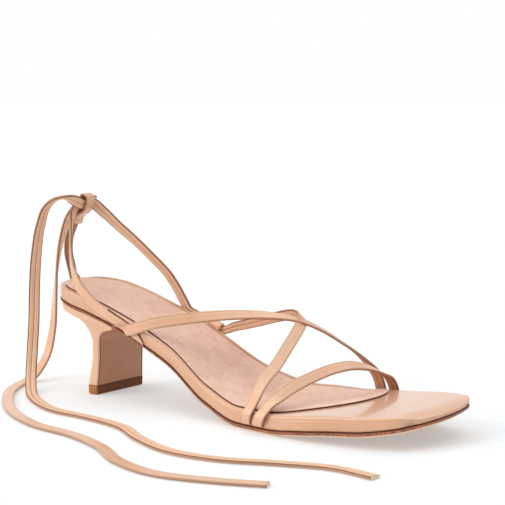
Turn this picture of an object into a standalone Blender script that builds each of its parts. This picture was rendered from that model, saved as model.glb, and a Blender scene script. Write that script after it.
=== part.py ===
# Lace-up heeled sandal for the right foot: sole layers, heel, straps and ties as separate solids.
# Lengths in the tables are millimetres. x runs from the back of the heel to the toe, y to the inner
# side of the foot, z up from the floor. The finished solids are centred on the floor, in metres.
import math
from collections import namedtuple

import bpy
import numpy as np

MM = 0.001

# Sole
LENGTH = 240.0
HEEL_DEPTH = 25.0
TOE_BULGE = 6.4
TOE_SKEW = 5.6
TOE_CORNER = 6.5
TOE_ROLL = 1.6
TOE_ROLL_FROM = 190.0
TOE_ROLL_FULL = 228.0
FOOTBED_THICK = 7.2
OUTSOLE_THICK = 2.8
SOCK_THICK = 0.7
SOCK_INSET = 2.9
SOCK_FRONT_LATERAL = 158.0
SOCK_FRONT_MEDIAL = 178.0
SOCK_FRONT_BULGE = 19.0
GAP = 0.3

# Heel
LIFT_TALL = 4.7

# Straps and ties
STRAP_WIDE = 6.0
STRAP_THICK = 1.5
TAB_WIDE = 8.0
TUCK = 5.0
STEP = 4.0
TAIL_STEP = 9.0

# Mesh counts: quads along each side of the sole and across its ends
ALONG = 42
ACROSS = 6

# Plan half widths, height of the footbed's top, its dish and its thickness, along the shoe
Station = namedtuple("Station", "x lateral medial top dish thick")
LAST = (
    Station(0.0, 0.0, 0.0, 57.4, 0.0, 7.2),
    Station(5.0, 0.0, 0.0, 57.0, 0.6, 7.2),
    Station(28.0, 23.2, 23.6, 52.9, 1.4, 7.2),
    Station(58.0, 24.2, 22.6, 44.6, 1.0, 7.2),
    Station(88.0, 24.7, 22.8, 32.4, 0.8, 7.2),
    Station(118.0, 30.0, 28.6, 16.2, 0.8, 7.2),
    Station(142.0, 34.9, 35.9, 10.0, 0.8, 7.2),
    Station(162.0, 37.2, 40.3, 10.0, 0.6, 7.2),
    Station(178.0, 38.1, 41.4, 11.6, 0.2, 7.2),
    Station(205.0, 34.8, 36.7, 14.4, 0.0, 6.6),
    Station(226.0, 29.0, 28.8, 16.6, 0.0, 4.5),
    Station(239.0, 24.4, 23.8, 18.6, 0.0, 4.0),
)

# Side of the wrapped footbed, from its under edge to its top: how far in, how far up
Ring = namedtuple("Ring", "inset rise")
FOOTBED_SIDE = (
    Ring(1.0, 0.15),
    Ring(0.25, 1.0),
    Ring(0.0, 2.6),
    Ring(0.08, 4.7),
    Ring(0.45, 6.05),
    Ring(1.3, 6.85),
    Ring(3.0, 7.2),
)
# Side of the outsole, from its top edge to its bevelled under edge
OUTSOLE_SIDE = (
    Ring(0.9, -0.15),
    Ring(0.05, -0.4),
    Ring(0.0, -1.3),
    Ring(0.6, -1.8),
    Ring(2.4, -2.8),
)

# Share of the outsole's thickness along the shoe: it is skived thin under the heel seat
Skive = namedtuple("Skive", "x share")
SKIVE = (Skive(0.0, 0.5), Skive(48.0, 0.5), Skive(80.0, 0.68), Skive(118.0, 0.88), Skive(138.0, 1.0), Skive(240.0, 1.0))

# Heel block from the seat down to the lift. round is how far the rounded back reaches forward.
Section = namedtuple("Section", "back_z front_z back front half round")
HEEL = (
    Section(48.5, 38.0, 0.9, 50.5, 22.4, 24.0),
    Section(46.1, 36.6, 0.9, 49.5, 22.2, 24.0),
    Section(45.6, 35.7, 3.8, 46.4, 21.7, 22.0),
    Section(44.8, 34.8, 9.5, 43.2, 21.0, 18.0),
    Section(42.5, 33.6, 15.8, 40.4, 20.1, 14.0),
    Section(38.9, 31.6, 21.4, 38.3, 19.2, 10.0),
    Section(34.2, 28.9, 25.4, 37.0, 18.4, 7.5),
    Section(28.8, 25.8, 27.2, 36.5, 17.9, 6.0),
    Section(20.0, 20.0, 27.2, 36.1, 17.6, 5.5),
    Section(12.0, 12.0, 26.0, 35.6, 17.8, 5.5),
    Section(5.0, 5.0, 24.5, 35.1, 18.3, 6.0),
)

# Centre line of a strap: place, and the way its outer face looks (turn from the toe, tilt up)
Spot = namedtuple("Spot", "x y z turn tilt")
STRAP_A = (
    Spot(69.0, -27.3, 40.2, -78, 4),
    Spot(78.0, -24.6, 42.8, -65, 12),
    Spot(88.0, -18.6, 44.9, -55, 24),
    Spot(100.0, -8.6, 46.6, -45, 36),
    Spot(113.0, 2.4, 47.5, -30, 48),
    Spot(126.0, 13.0, 47.0, -8, 58),
    Spot(137.2, 21.8, 44.8, 16, 58),
    Spot(145.6, 28.4, 40.2, 34, 50),
    Spot(155.4, 34.0, 33.4, 42, 40),
    Spot(161.4, 37.2, 28.8, 52, 30),
    Spot(166.6, 39.8, 23.6, 66, 18),
    Spot(170.6, 41.6, 18.6, 82, 8),
)
STRAP_B = (
    Spot(151.8, -36.0, 14.4, -80, 12),
    Spot(149.6, -24.5, 21.9, -62, 32),
    Spot(147.2, -11.0, 27.4, -45, 42),
    Spot(144.4, 2.0, 34.0, -36, 44),
    Spot(141.8, 12.6, 39.2, -28, 46),
    Spot(139.6, 19.6, 42.4, -8, 54),
    Spot(137.8, 24.2, 45.2, 40, 50),
    Spot(132.4, 27.2, 46.4, 80, 34),
    Spot(119.0, 27.4, 44.0, 90, 28),
    Spot(108.8, 26.9, 41.1, 90, 26),
    Spot(100.6, 26.4, 39.2, 90, 24),
    Spot(92.6, 25.9, 37.5, 90, 16),
)
STRAP_C = (
    Spot(160.2, -35.6, 13.2, -74, 14),
    Spot(161.4, -27.0, 16.8, -62, 28),
    Spot(162.8, -17.6, 20.2, -42, 40),
    Spot(166.4, -6.2, 23.8, -20, 48),
    Spot(170.0, 5.4, 26.2, 0, 52),
    Spot(173.2, 15.6, 26.6, 20, 50),
    Spot(176.0, 25.0, 24.7, 45, 44),
    Spot(178.4, 33.4, 21.2, 65, 32),
    Spot(180.2, 39.8, 17.0, 82, 14),
)
LATERAL_TIE = (
    Spot(28.4, -24.2, 58.4, -98, 8),
    Spot(23.2, -21.6, 63.2, -103, 4),
    Spot(18.6, -18.8, 69.0, -106, 0),
    Spot(15.4, -16.2, 75.0, -108, 0),
    Spot(12.6, -13.4, 80.8, -116, 0),
    Spot(9.4, -9.8, 86.6, -136, 6),
    Spot(7.0, -6.4, 91.8, -162, 16),
    Spot(7.1, -5.0, 95.4, -176, 23),
    Spot(8.1, -2.8, 98.3, -180, 24),
)
MEDIAL_TIE = (
    Spot(63.2, 24.2, 42.6, 92, 10),
    Spot(59.6, 23.4, 48.3, 94, 20),
    Spot(56.6, 22.0, 54.4, 94, 24),
    Spot(52.6, 19.8, 61.4, 94, 25),
    Spot(43.2, 16.4, 71.2, 94, 25),
    Spot(33.6, 13.6, 79.8, 98, 25),
    Spot(24.6, 11.2, 86.8, 108, 22),
    Spot(15.7, 9.0, 94.1, 130, 20),
)
BACK_STRAP = (
    Spot(-1.2, 4.0, 56.4, 180, 0),
    Spot(-3.6, 3.4, 63.5, 180, 0),
    Spot(-4.9, 2.6, 71.0, 180, 0),
    Spot(-3.8, 2.0, 79.0, 180, 10),
    Spot(0.6, 1.6, 87.5, 180, 20),
    Spot(4.4, 1.5, 95.0, 180, 24),
)

# Keeper loop at the head of the back strap: along the strap, forward of it, and its face's turn
Fold = namedtuple("Fold", "along forward turn")
LOOP_FOOT = (7.0, 1.5, 100.4)
LOOP_LEAN = 24.0
KEEPER = (
    Fold(2.4, 0.0, 0),
    Fold(4.0, 0.7, 40),
    Fold(4.8, 2.8, 90),
    Fold(4.0, 4.9, 140),
    Fold(2.2, 5.6, 180),
    Fold(-2.2, 5.6, 180),
    Fold(-4.4, 4.9, 220),
    Fold(-6.2, 3.2, 235),
    Fold(-8.4, 2.0, 200),
    Fold(-13.0, 1.9, 180),
)
# Folded top of the waist tab: up the side, out from the edge, and its face's turn
TAB_FOLD = (
    Fold(9.4, 3.05, 0),
    Fold(11.3, 2.6, 45),
    Fold(12.0, 1.15, 90),
    Fold(11.3, -0.3, 135),
    Fold(10.5, -0.75, 180),
    Fold(8.0, -0.75, 180),
)
# The lace along the inner edge and the lateral tie along the outer one: place, height over the seam, width
Edge = namedtuple("Edge", "x high wide")
LACE_END = (Edge(83.0, 8.7, 4.6), Edge(79.4, 8.0, 4.2))
LACE_START = (Edge(78.6, 7.8, 4.2), Edge(74.0, 7.2, 4.8), Edge(67.5, 6.7, 5.8))
TIE_EDGE = (Edge(58.8, 4.9, 3.6), Edge(55.2, 5.1, 4.2), Edge(51.0, 5.25, 4.6), Edge(44.5, 5.5, 5.6),
            Edge(38.5, 6.5, 6.0), Edge(33.5, 8.4, 6.0))
TIE_SEAT_BACK = 1.85
TIE_SEAT_FRONT = 3.7
WRAP_SLANT = 1.3
WRAP_HIGH = 4.2
SLANT_B = 0.45
SLANT_C = 0.8

# Free ends of the ties, fallen behind the heel and lying out along the outer side of the shoe
LATERAL_TAIL = (
    Spot(6.1, 10.2, 100.6, 164, 36),
    Spot(0.4, 13.2, 100.6, 160, 54),
    Spot(-6.4, 12.8, 97.4, 172, 36),
    Spot(-11.8, 10.4, 90.0, 184, 16),
    Spot(-15.0, 7.8, 78.0, 200, 2),
    Spot(-16.8, 5.6, 62.0, 220, 0),
    Spot(-17.2, 3.8, 44.0, 242, 0),
    Spot(-17.2, 1.6, 27.0, 256, 2),
    Spot(-17.8, -3.0, 12.6, 264, 24),
    Spot(-18.0, -11.6, 3.6, 268, 64),
    Spot(-15.6, -23.6, 1.0, 284, 90),
    Spot(-7.0, -39.4, 1.0, 302, 90),
    Spot(10.0, -58.0, 1.0, 314, 90),
    Spot(36.0, -78.0, 1.0, 328, 90),
    Spot(64.0, -90.0, 1.0, 346, 90),
    Spot(92.0, -94.0, 1.0, 350, 90),
    Spot(118.0, -103.0, 1.0, 336, 90),
    Spot(142.0, -117.0, 1.0, 338, 90),
    Spot(168.0, -123.0, 1.0, 358, 90),
    Spot(194.0, -117.0, 1.0, 374, 90),
    Spot(216.0, -108.0, 1.0, 382, 90),
)
MEDIAL_TAIL = (
    Spot(11.0, -5.4, 99.8, 180, 26),
    Spot(11.5, -8.8, 101.2, 184, 36),
    Spot(9.4, -12.6, 102.8, 190, 56),
    Spot(5.0, -15.8, 102.2, 188, 64),
    Spot(-0.2, -17.8, 98.0, 182, 42),
    Spot(-4.2, -18.8, 88.4, 172, 14),
    Spot(-7.4, -19.4, 72.0, 158, 0),
    Spot(-8.6, -20.0, 54.0, 146, 0),
    Spot(-8.8, -20.6, 36.0, 137, 0),
    Spot(-8.0, -23.0, 19.0, 131, -8),
    Spot(-4.4, -27.6, 7.6, 129, -40),
    Spot(3.4, -35.2, 2.2, 130, -78),
    Spot(20.0, -48.6, 1.0, 140, -90),
    Spot(46.0, -61.0, 1.0, 160, -90),
    Spot(72.0, -63.0, 1.0, 172, -90),
    Spot(98.0, -68.0, 1.0, 158, -90),
    Spot(122.0, -81.0, 1.0, 154, -90),
    Spot(148.0, -90.0, 1.0, 170, -90),
    Spot(174.0, -88.0, 1.0, 190, -90),
    Spot(198.0, -78.0, 1.0, 202, -90),
    Spot(222.0, -70.0, 1.0, 192, -90),
    Spot(244.0, -72.0, 1.0, 176, -90),
)

Finish = namedtuple("Finish", "red green blue rough")
LEATHER = Finish(0.72, 0.46, 0.32, 0.35)
SOCK_LEATHER = Finish(0.76, 0.50, 0.41, 0.6)
SOLE_LEATHER = Finish(0.24, 0.11, 0.05, 0.5)
LIFT_RUBBER = Finish(0.16, 0.06, 0.02, 0.6)


def smooth_table(xs, ys):
    """Curve through a table that never overshoots it, so equal neighbours stay flat."""
    xs, ys = np.array(xs, float), np.array(ys, float)
    width = np.diff(xs)
    rise = np.diff(ys) / width
    slope = np.zeros(len(xs))
    for k in range(1, len(xs) - 1):
        if rise[k - 1] * rise[k] > 0:
            first = 2 * width[k] + width[k - 1]
            second = width[k] + 2 * width[k - 1]
            slope[k] = (first + second) / (first / rise[k - 1] + second / rise[k])
    slope[0], slope[-1] = rise[0], rise[-1]

    def value(x):
        x = np.clip(np.asarray(x, float), xs[0], xs[-1])
        k = np.clip(np.searchsorted(xs, x) - 1, 0, len(width) - 1)
        t = (x - xs[k]) / width[k]
        low = (1 + 2 * t) * (1 - t) ** 2 * ys[k] + t * (1 - t) ** 2 * width[k] * slope[k]
        high = t * t * (3 - 2 * t) * ys[k + 1] + t * t * (t - 1) * width[k] * slope[k + 1]
        return low + high

    return value


top_line = smooth_table([s.x for s in LAST], [s.top for s in LAST])
dish_line = smooth_table([s.x for s in LAST], [s.dish for s in LAST])
thick_line = smooth_table([s.x for s in LAST], [s.thick for s in LAST])
SIDED = [s for s in LAST if s.x >= HEEL_DEPTH]
skive_line = smooth_table([s.x for s in SKIVE], [s.share for s in SKIVE])
lateral_half = smooth_table([s.x for s in SIDED], [s.lateral for s in SIDED])
medial_half = smooth_table([s.x for s in SIDED], [s.medial for s in SIDED])


def toe_roll(x, y):
    """The toe's end turns up a little more on its inner side than on its outer one."""
    share = np.clip((x - TOE_ROLL_FROM) / (TOE_ROLL_FULL - TOE_ROLL_FROM), 0, 1)
    return TOE_ROLL * share * share * (3 - 2 * share) * y / 25.0


def surface(x, y):
    """Top of the footbed: the last's profile, dished a little away from its edge."""
    middle = (medial_half(x) - lateral_half(x)) / 2
    half = (medial_half(x) + lateral_half(x)) / 2 - 4.0
    share = np.clip(1 - np.abs(y - middle) / half, 0, 1)
    back = np.clip((x - 4.0) / 18.0, 0, 1)
    return top_line(x) + toe_roll(x, y) - dish_line(x) * back * share * share * (3 - 2 * share)


class Outline:
    """Plan edge of the sole, from the back of the heel round the outer side, the toe and back."""

    def __init__(self):
        points = []
        turns = np.radians(np.arange(0, 90, 3))
        tips = (LENGTH - TOE_BULGE - TOE_SKEW, LENGTH - TOE_BULGE + 1.0)
        stops = [tip - TOE_CORNER for tip in tips]
        sides = [np.linspace(HEEL_DEPTH, stop, 70) for stop in stops]
        for t in turns:
            points.append((HEEL_DEPTH * (1 - math.cos(t)), -lateral_half(HEEL_DEPTH) * math.sin(t)))
        points += [(x, -lateral_half(x)) for x in sides[0]]
        near = (tips[0], -lateral_half(tips[0]))
        far = (tips[1], medial_half(tips[1]))
        front = [self.front_edge(near, far, t) for t in np.linspace(0.14, 0.86, 30)]
        self.toe_lateral = len(points) + 5
        points += self.bend(points[-1], near, front[0])
        points += front
        last = (stops[1], medial_half(stops[1]))
        self.toe_medial = len(points) + 5
        points += self.bend(front[-1], far, last)
        points += [(x, medial_half(x)) for x in sides[1][::-1]]
        for t in turns[::-1]:
            points.append((HEEL_DEPTH * (1 - math.cos(t)), medial_half(HEEL_DEPTH) * math.sin(t)))
        self.points = np.array(points)
        self.points[-1] = self.points[0]
        step = np.gradient(self.points, axis=0)
        step[0] = step[-1] = (0.0, -1.0)
        step /= np.linalg.norm(step, axis=1)[:, None]
        self.out = np.stack([step[:, 1], -step[:, 0]], axis=1)
        self.run = np.r_[0, np.cumsum(np.linalg.norm(np.diff(self.points, axis=0), axis=1))]
        self.heel_lateral = self.run[12]
        self.heel_medial = self.run[-13]

    @staticmethod
    def front_edge(near, far, t):
        y = near[1] + (far[1] - near[1]) * t
        x = near[0] + (far[0] - near[0]) * t
        return (x + TOE_BULGE * (1 - (2 * t - 1) ** 2), y)

    @staticmethod
    def bend(start, corner, end):
        arc = []
        for t in np.linspace(0.09, 0.91, 11):
            share = ((1 - t) ** 2, 2 * t * (1 - t), t * t)
            arc.append(tuple(share[0] * start[k] + share[1] * corner[k] + share[2] * end[k] for k in (0, 1)))
        return arc

    def at(self, run, inset=0.0):
        moved = self.points - inset * self.out
        return np.stack([np.interp(run, self.run, moved[:, k]) for k in (0, 1)], axis=-1)

    def run_at(self, side, x):
        toe = self.run[self.toe_lateral if side < 0 else self.toe_medial]
        runs = np.linspace(self.heel_lateral, toe, 900) if side < 0 else np.linspace(self.heel_medial, toe, 900)
        return runs[np.argmin(np.abs(self.at(runs)[:, 0] - x))]

    def loop(self, inset, front=None):
        """One closed ring of the outline, its points counted as the edge of a grid."""
        toe_l, toe_m = self.run[self.toe_lateral], self.run[self.toe_medial]
        if front:
            toe_l, toe_m = self.run_at(-1, front[0]), self.run_at(1, front[1])
        lateral = self.at(self.heel_lateral + (toe_l - self.heel_lateral) * crowd(ALONG), inset)
        medial = self.at(toe_m + (self.heel_medial - toe_m) * crowd(ALONG), inset)
        if front:
            t = np.linspace(0, 1, ACROSS + 1)[:, None]
            toe = lateral[-1] * (1 - t) + medial[0] * t
            toe[:, 0] += front[2] * (4 * t * (1 - t))[:, 0] ** 0.8
        else:
            toe = self.at(toe_l + (toe_m - toe_l) * crowd(ACROSS), inset)
        total = self.run[-1]
        back = self.heel_medial + (total - self.heel_medial + self.heel_lateral) * np.linspace(0, 1, ACROSS + 1)
        heel = self.at(back % total, inset)
        return lateral, toe, medial, heel


def crowd(count):
    """Even shares from 0 to 1, drawn closer together near both ends."""
    t = np.linspace(0, 1, count + 1)
    return t - 0.62 * np.sin(2 * np.pi * t) / (2 * np.pi)


def patch(lateral, toe, medial, heel):
    """Grid of plan points spanning four edges."""
    u = np.linspace(0, 1, len(lateral))[:, None, None]
    v = np.linspace(0, 1, len(toe))[None, :, None]
    right, left = medial[::-1][:, None], lateral[:, None]
    far, near = toe[None], heel[::-1][None]
    sides = (1 - v) * left + v * right
    ends = (1 - u) * near + u * far
    corners = (1 - u) * ((1 - v) * lateral[0] + v * medial[-1]) + u * ((1 - v) * lateral[-1] + v * medial[0])
    return sides + ends - corners


def ring_of(edges):
    return np.concatenate([edge[:-1] for edge in edges])


def grid_ring(rows, columns):
    """Numbers of a grid's edge points in the same order as a ring."""
    number = np.arange(rows * columns).reshape(rows, columns)
    edges = (number[:, 0], number[-1, :], number[::-1, -1], number[0, ::-1])
    return np.concatenate([edge[:-1] for edge in edges])


def paint(thing, name, finish):
    material = bpy.data.materials.new(name)
    material.use_nodes = True
    shader = material.node_tree.nodes["Principled BSDF"]
    shader.inputs["Base Color"].default_value = (finish.red, finish.green, finish.blue, 1.0)
    shader.inputs["Roughness"].default_value = finish.rough
    thing.data.materials.append(material)


def solid(name, points, faces, finish):
    mesh = bpy.data.meshes.new(name)
    mesh.from_pydata([tuple(float(c) * MM for c in p) for p in points], [], faces)
    mesh.update()
    thing = bpy.data.objects.new(name, mesh)
    bpy.context.scene.collection.objects.link(thing)
    paint(thing, name + "_finish", finish)
    return thing


def stack(name, rings, under, over, finish):
    """Closed solid from rings of points, listed upward, with a grid of points closing each end."""
    count = len(rings[0])
    points = [under.reshape(-1, 3)] + [np.array(r) for r in rings[1:-1]] + [over.reshape(-1, 3)]
    starts = np.cumsum([0] + [len(p) for p in points])
    numbers = [grid_ring(*under.shape[:2])]
    numbers += [starts[k] + np.arange(count) for k in range(1, len(rings) - 1)]
    numbers += [starts[len(points) - 1] + grid_ring(*over.shape[:2])]
    faces = []
    for low, high in zip(numbers, numbers[1:]):
        for k in range(count):
            after = (k + 1) % count
            faces.append((int(low[k]), int(low[after]), int(high[after]), int(high[k])))
    for grid, start, up in ((under, 0, False), (over, starts[len(points) - 1], True)):
        rows, columns = grid.shape[:2]
        for i in range(rows - 1):
            for j in range(columns - 1):
                a = int(start + i * columns + j)
                face = (a, a + columns, a + columns + 1, a + 1)
                faces.append(face if up else face[::-1])
    return solid(name, np.concatenate(points), faces, finish)


def sole_layer(name, outline, rings, height, finish, front=None):
    """Layer of the sole: rings of the outline joined up the side, with grids closing both faces."""
    loops = []
    for ring in rings:
        edges = outline.loop(ring.inset, front)
        plan = ring_of(edges)
        loops.append(np.column_stack([plan, height(plan[:, 0], plan[:, 1], ring.rise)]))
    grids = []
    for ring in (rings[0], rings[-1]):
        plan = patch(*outline.loop(ring.inset, front))
        z = height(plan[..., 0], plan[..., 1], ring.rise)
        grids.append(np.concatenate([plan, z[..., None]], axis=2))
    return stack(name, loops, grids[0], grids[1], finish)


def feather(x, y):
    """Seam between footbed and outsole."""
    return top_line(x) - thick_line(x) + toe_roll(x, y)


def footbed_height(x, y, rise):
    """The footbed's underside is plain and its top is dished."""
    return feather(x, y) + (surface(x, y) - feather(x, y)) * rise / FOOTBED_THICK


def outsole_height(x, y, rise):
    return feather(x, y) + rise * skive_line(x)


def sock_height(x, y, rise):
    return surface(x, y) + rise


def heel_edges(section):
    """Four edges of one heel section: rounded back, straight sides and flat breast."""
    def back_point(angle):
        x = section.back + section.round * (1 - math.cos(angle))
        return (x, section.half * math.sin(angle))

    split = math.radians(48)
    arc = [back_point(a) for a in np.linspace(split, math.pi / 2, 5)]
    edge = section.back + section.round
    straight = [(x, section.half) for x in np.linspace(edge, section.front, 6)[1:]]
    medial = np.array((arc + straight)[::-1])
    lateral = medial[::-1] * (1, -1)
    toe = np.column_stack([np.full(ACROSS + 1, section.front), np.linspace(-section.half, section.half, ACROSS + 1)])
    heel = np.array([back_point(a) for a in np.linspace(split, -split, ACROSS + 1)])
    return lateral, toe, medial, heel


def heel_block():
    def height(section, plan):
        share = (plan[..., 0] - section.back) / (section.front - section.back)
        flat = section.back_z + (section.front_z - section.back_z) * share
        if section is HEEL[0]:
            return feather(plan[..., 0], plan[..., 1]) - OUTSOLE_THICK * skive_line(plan[..., 0]) - GAP
        return flat

    loops = []
    for section in HEEL[::-1]:
        plan = ring_of(heel_edges(section))
        loops.append(np.column_stack([plan, height(section, plan)]))
    grids = []
    for section in (HEEL[-1], HEEL[0]):
        plan = patch(*heel_edges(section))
        grids.append(np.concatenate([plan, height(section, plan)[..., None]], axis=2))
    return stack("heel", loops, grids[0], grids[1], LEATHER)


def top_lift():
    base = HEEL[-1]
    levels = ((0.0, 0.5), (0.6, 0.0), (LIFT_TALL, -0.1))
    loops, grids = [], []
    for z, inset in levels:
        section = base._replace(back=base.back + inset, front=base.front - inset, half=base.half - inset)
        plan = ring_of(heel_edges(section))
        loops.append(np.column_stack([plan, np.full(len(plan), z)]))
        net = patch(*heel_edges(section))
        grids.append(np.concatenate([net, np.full(net.shape[:2] + (1,), z)], axis=2))
    return stack("top_lift", loops, grids[0], grids[-1], LIFT_RUBBER)


def looking(turn, tilt):
    turn, tilt = math.radians(turn), math.radians(tilt)
    return np.array([math.cos(turn) * math.cos(tilt), math.sin(turn) * math.cos(tilt), math.sin(tilt)])


def knots(spots):
    return [(np.array([s.x, s.y, s.z]), looking(s.turn, s.tilt)) for s in spots]


def rim_frame(outline, run):
    """Place on the seam under the footbed's edge, with the ways out from the edge and up its side."""
    plan = outline.at(run)
    out2 = np.array([np.interp(run, outline.run, outline.out[:, k]) for k in (0, 1)])
    out = np.array([out2[0], out2[1], 0.0])
    along = np.array([out2[1], -out2[0], 0.0])
    slope = float(top_line(plan[0] + 0.5) - top_line(plan[0] - 0.5))
    along[2] = along[0] * slope
    along /= np.linalg.norm(along)
    up = np.cross(out, along)
    up = up if up[2] > 0 else -up
    return np.array([plan[0], plan[1], float(feather(plan[0], 0.0))]), out, up


def tuck(outline, run, reach=0.0, deep=TUCK, high=6.6, slant=0.0, lean=0.0):
    """Lasted end of a strap: from under the footbed, round its lower edge and up its side.

    slant sets the whole end askew, lean only its run up the side.
    """
    half = STRAP_THICK / 2
    low = GAP + half + 0.15
    side = half + GAP + 0.1 + reach
    steps = (
        (-deep, low, 0, -1),
        (-1.2 + reach, low, 0, -1),
        (side - 0.45, low + 0.4, 1, -1),
        (side, low + 1.5, 1, 0),
        (side, high, 1, 0),
    )
    rows = []
    for away, rise, face_out, face_up in steps:
        foot, out, up = rim_frame(outline, run + slant * (away - side + rise - low) + lean * (rise - low))
        look = face_out * out + face_up * up
        rows.append((foot + away * out + rise * up, look / np.linalg.norm(look)))
    return rows


def flow(rows, step):
    """Smooth run of places and facings through a strap's knots."""
    places = np.array([r[0] for r in rows])
    faces = np.array([r[1] for r in rows])
    gaps = np.linalg.norm(np.diff(places, axis=0), axis=1)
    at = np.r_[0, np.cumsum(gaps)]

    def slopes(values):
        rise = np.diff(values, axis=0) / gaps[:, None]
        inner = (rise[:-1] * gaps[1:, None] + rise[1:] * gaps[:-1, None]) / (gaps[1:] + gaps[:-1])[:, None]
        return np.concatenate([rise[:1], inner, rise[-1:]])

    drift, swing = slopes(places), slopes(faces)
    line, look, share = [], [], []
    for k, gap in enumerate(gaps):
        count = max(1, int(round(gap / step)))
        for t in np.arange(count + (k == len(gaps) - 1)) / count:
            base = ((1 + 2 * t) * (1 - t) ** 2, t * (1 - t) ** 2 * gap, t * t * (3 - 2 * t), t * t * (t - 1) * gap)
            line.append(base[0] * places[k] + base[1] * drift[k] + base[2] * places[k + 1] + base[3] * drift[k + 1])
            look.append(base[0] * faces[k] + base[1] * swing[k] + base[2] * faces[k + 1] + base[3] * swing[k + 1])
            share.append(k + t)
    return np.array(line), np.array(look), np.array(share)


def strip(name, rows, wide=STRAP_WIDE, thick=STRAP_THICK, step=STEP, finish=LEATHER):
    """Folded leather strip with eased edges, carried along its centre line."""
    line, look, share = flow(rows, step)
    widths = [row[2] if len(row) > 2 else wide for row in rows]
    edges = np.interp(share, np.arange(len(rows)), widths) / 2
    line[:, 2] = np.maximum(line[:, 2], thick / 2 + GAP)
    way = np.gradient(line, axis=0)
    way /= np.linalg.norm(way, axis=1)[:, None]
    look -= (look * way).sum(axis=1)[:, None] * way
    look /= np.linalg.norm(look, axis=1)[:, None]
    across = np.cross(way, look)
    face = thick / 2
    shape = ((-1, -0.5 * face), (-0.87, -face), (0.87, -face), (1, -0.5 * face),
             (1, 0.5 * face), (0.87, face), (-0.87, face), (-1, 0.5 * face))
    points = [line[k] + a * edges[k] * across[k] + f * look[k] for k in range(len(line)) for a, f in shape]
    size = len(shape)
    faces = [tuple(range(size)), tuple(range(len(points) - 1, len(points) - 1 - size, -1))]
    for k in range(len(line) - 1):
        for j in range(size):
            after = (j + 1) % size
            low, high = k * size, (k + 1) * size
            faces.append((low + j, high + j, high + after, low + after))
    return solid(name, points, faces, finish)


def combine(target, tool, operation):
    """Joins a hidden solid to another, or cuts it away."""
    modifier = target.modifiers.new(tool.name, "BOOLEAN")
    modifier.operation = operation
    modifier.solver = "EXACT"
    modifier.object = tool
    tool.hide_render = True
    tool.display_type = "WIRE"


def loop_knots():
    """Keeper at the head of the back strap, in the plane the strap leans in."""
    lean = math.radians(LOOP_LEAN)
    along = np.array([math.sin(lean), 0.0, math.cos(lean)])
    forward = np.array([math.cos(lean), 0.0, -math.sin(lean)])
    rows = []
    for fold in KEEPER:
        turn = math.radians(fold.turn)
        look = -math.cos(turn) * forward + math.sin(turn) * along
        rows.append((np.array(LOOP_FOOT) + fold.along * along + fold.forward * forward, look))
    return rows


def tie_seat(forward_by, y):
    """Place and facing of a tie where it passes through the keeper."""
    lean = math.radians(LOOP_LEAN)
    forward = np.array([math.cos(lean), 0.0, -math.sin(lean)])
    place = np.array(LOOP_FOOT) + forward_by * forward
    place[1] = y
    return place, -forward


def tab_knots(outline, run):
    """Folded top of the waist tab, over the lace that runs along the edge."""
    foot, out, up = rim_frame(outline, run)
    rows = []
    for fold in TAB_FOLD:
        turn = math.radians(fold.turn)
        look = math.cos(turn) * out + math.sin(turn) * up
        rows.append((foot + fold.forward * out + fold.along * up, look))
    return rows


def edge_knots(outline, side, rows):
    """Places and facings of a tie that runs along the edge of the sole."""
    found = []
    for row in rows:
        foot, out, up = rim_frame(outline, outline.run_at(side, row.x))
        found.append((foot + (STRAP_THICK / 2 + GAP + 0.1) * out + row.high * up, out, row.wide))
    return found


def centre_on_floor(shoe):
    """Moves every solid so that the shoe's box, without its loose ties, stands centred on the origin."""
    graph = bpy.context.evaluated_depsgraph_get()
    corners = []
    for thing in shoe:
        mesh = thing.evaluated_get(graph).to_mesh()
        corners += [tuple(v.co) for v in mesh.vertices]
    low, high = np.min(corners, axis=0), np.max(corners, axis=0)
    middle = (low + high) / 2
    for thing in bpy.data.objects:
        for vertex in thing.data.vertices:
            vertex.co.x -= middle[0]
            vertex.co.y -= middle[1]


for old in list(bpy.data.objects):
    bpy.data.objects.remove(old, do_unlink=True)

outline = Outline()
footbed = sole_layer("footbed", outline, FOOTBED_SIDE, footbed_height, LEATHER)
outsole = sole_layer("outsole", outline, OUTSOLE_SIDE[::-1], outsole_height, SOLE_LEATHER)
sock = sole_layer("sock_lining", outline, (Ring(SOCK_INSET, 0.35), Ring(SOCK_INSET, 0.35 + SOCK_THICK)), sock_height,
                  SOCK_LEATHER, (SOCK_FRONT_LATERAL, SOCK_FRONT_MEDIAL, SOCK_FRONT_BULGE))
heel = heel_block()
lift = top_lift()

run_a = (outline.run_at(-1, 60.0), outline.run_at(1, 174.4))
run_b = outline.run_at(-1, 148.8)
run_c = (outline.run_at(-1, 156.4), outline.run_at(1, 181.6))
run_back = outline.run[-1] - 4.0
run_tab = outline.run_at(1, 79.0)

over_reach = STRAP_THICK + GAP + 0.1
wrap = tuck(outline, run_a[0], over_reach, TUCK, WRAP_HIGH, WRAP_SLANT)
root_a = (wrap, tuck(outline, run_a[1]))
root_b = tuck(outline, run_b, lean=SLANT_B)
root_c = (tuck(outline, run_c[0], 0.2, lean=SLANT_C), tuck(outline, run_c[1]))
root_back = tuck(outline, run_back)
root_tab = tuck(outline, run_tab, over_reach)

lace_end = edge_knots(outline, 1, LACE_END)
lace_start = edge_knots(outline, 1, LACE_START)
tie_start = edge_knots(outline, -1, TIE_EDGE)
upper = strip("upper_straps", root_a[0] + knots(STRAP_A) + root_a[1][::-1])
strap_b = strip("strap_b_stock", root_b + knots(STRAP_B) + lace_end)
combine(upper, strap_b, "UNION")
toe_strap = strip("toe_strap", root_c[0] + knots(STRAP_C) + root_c[1][::-1])

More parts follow.
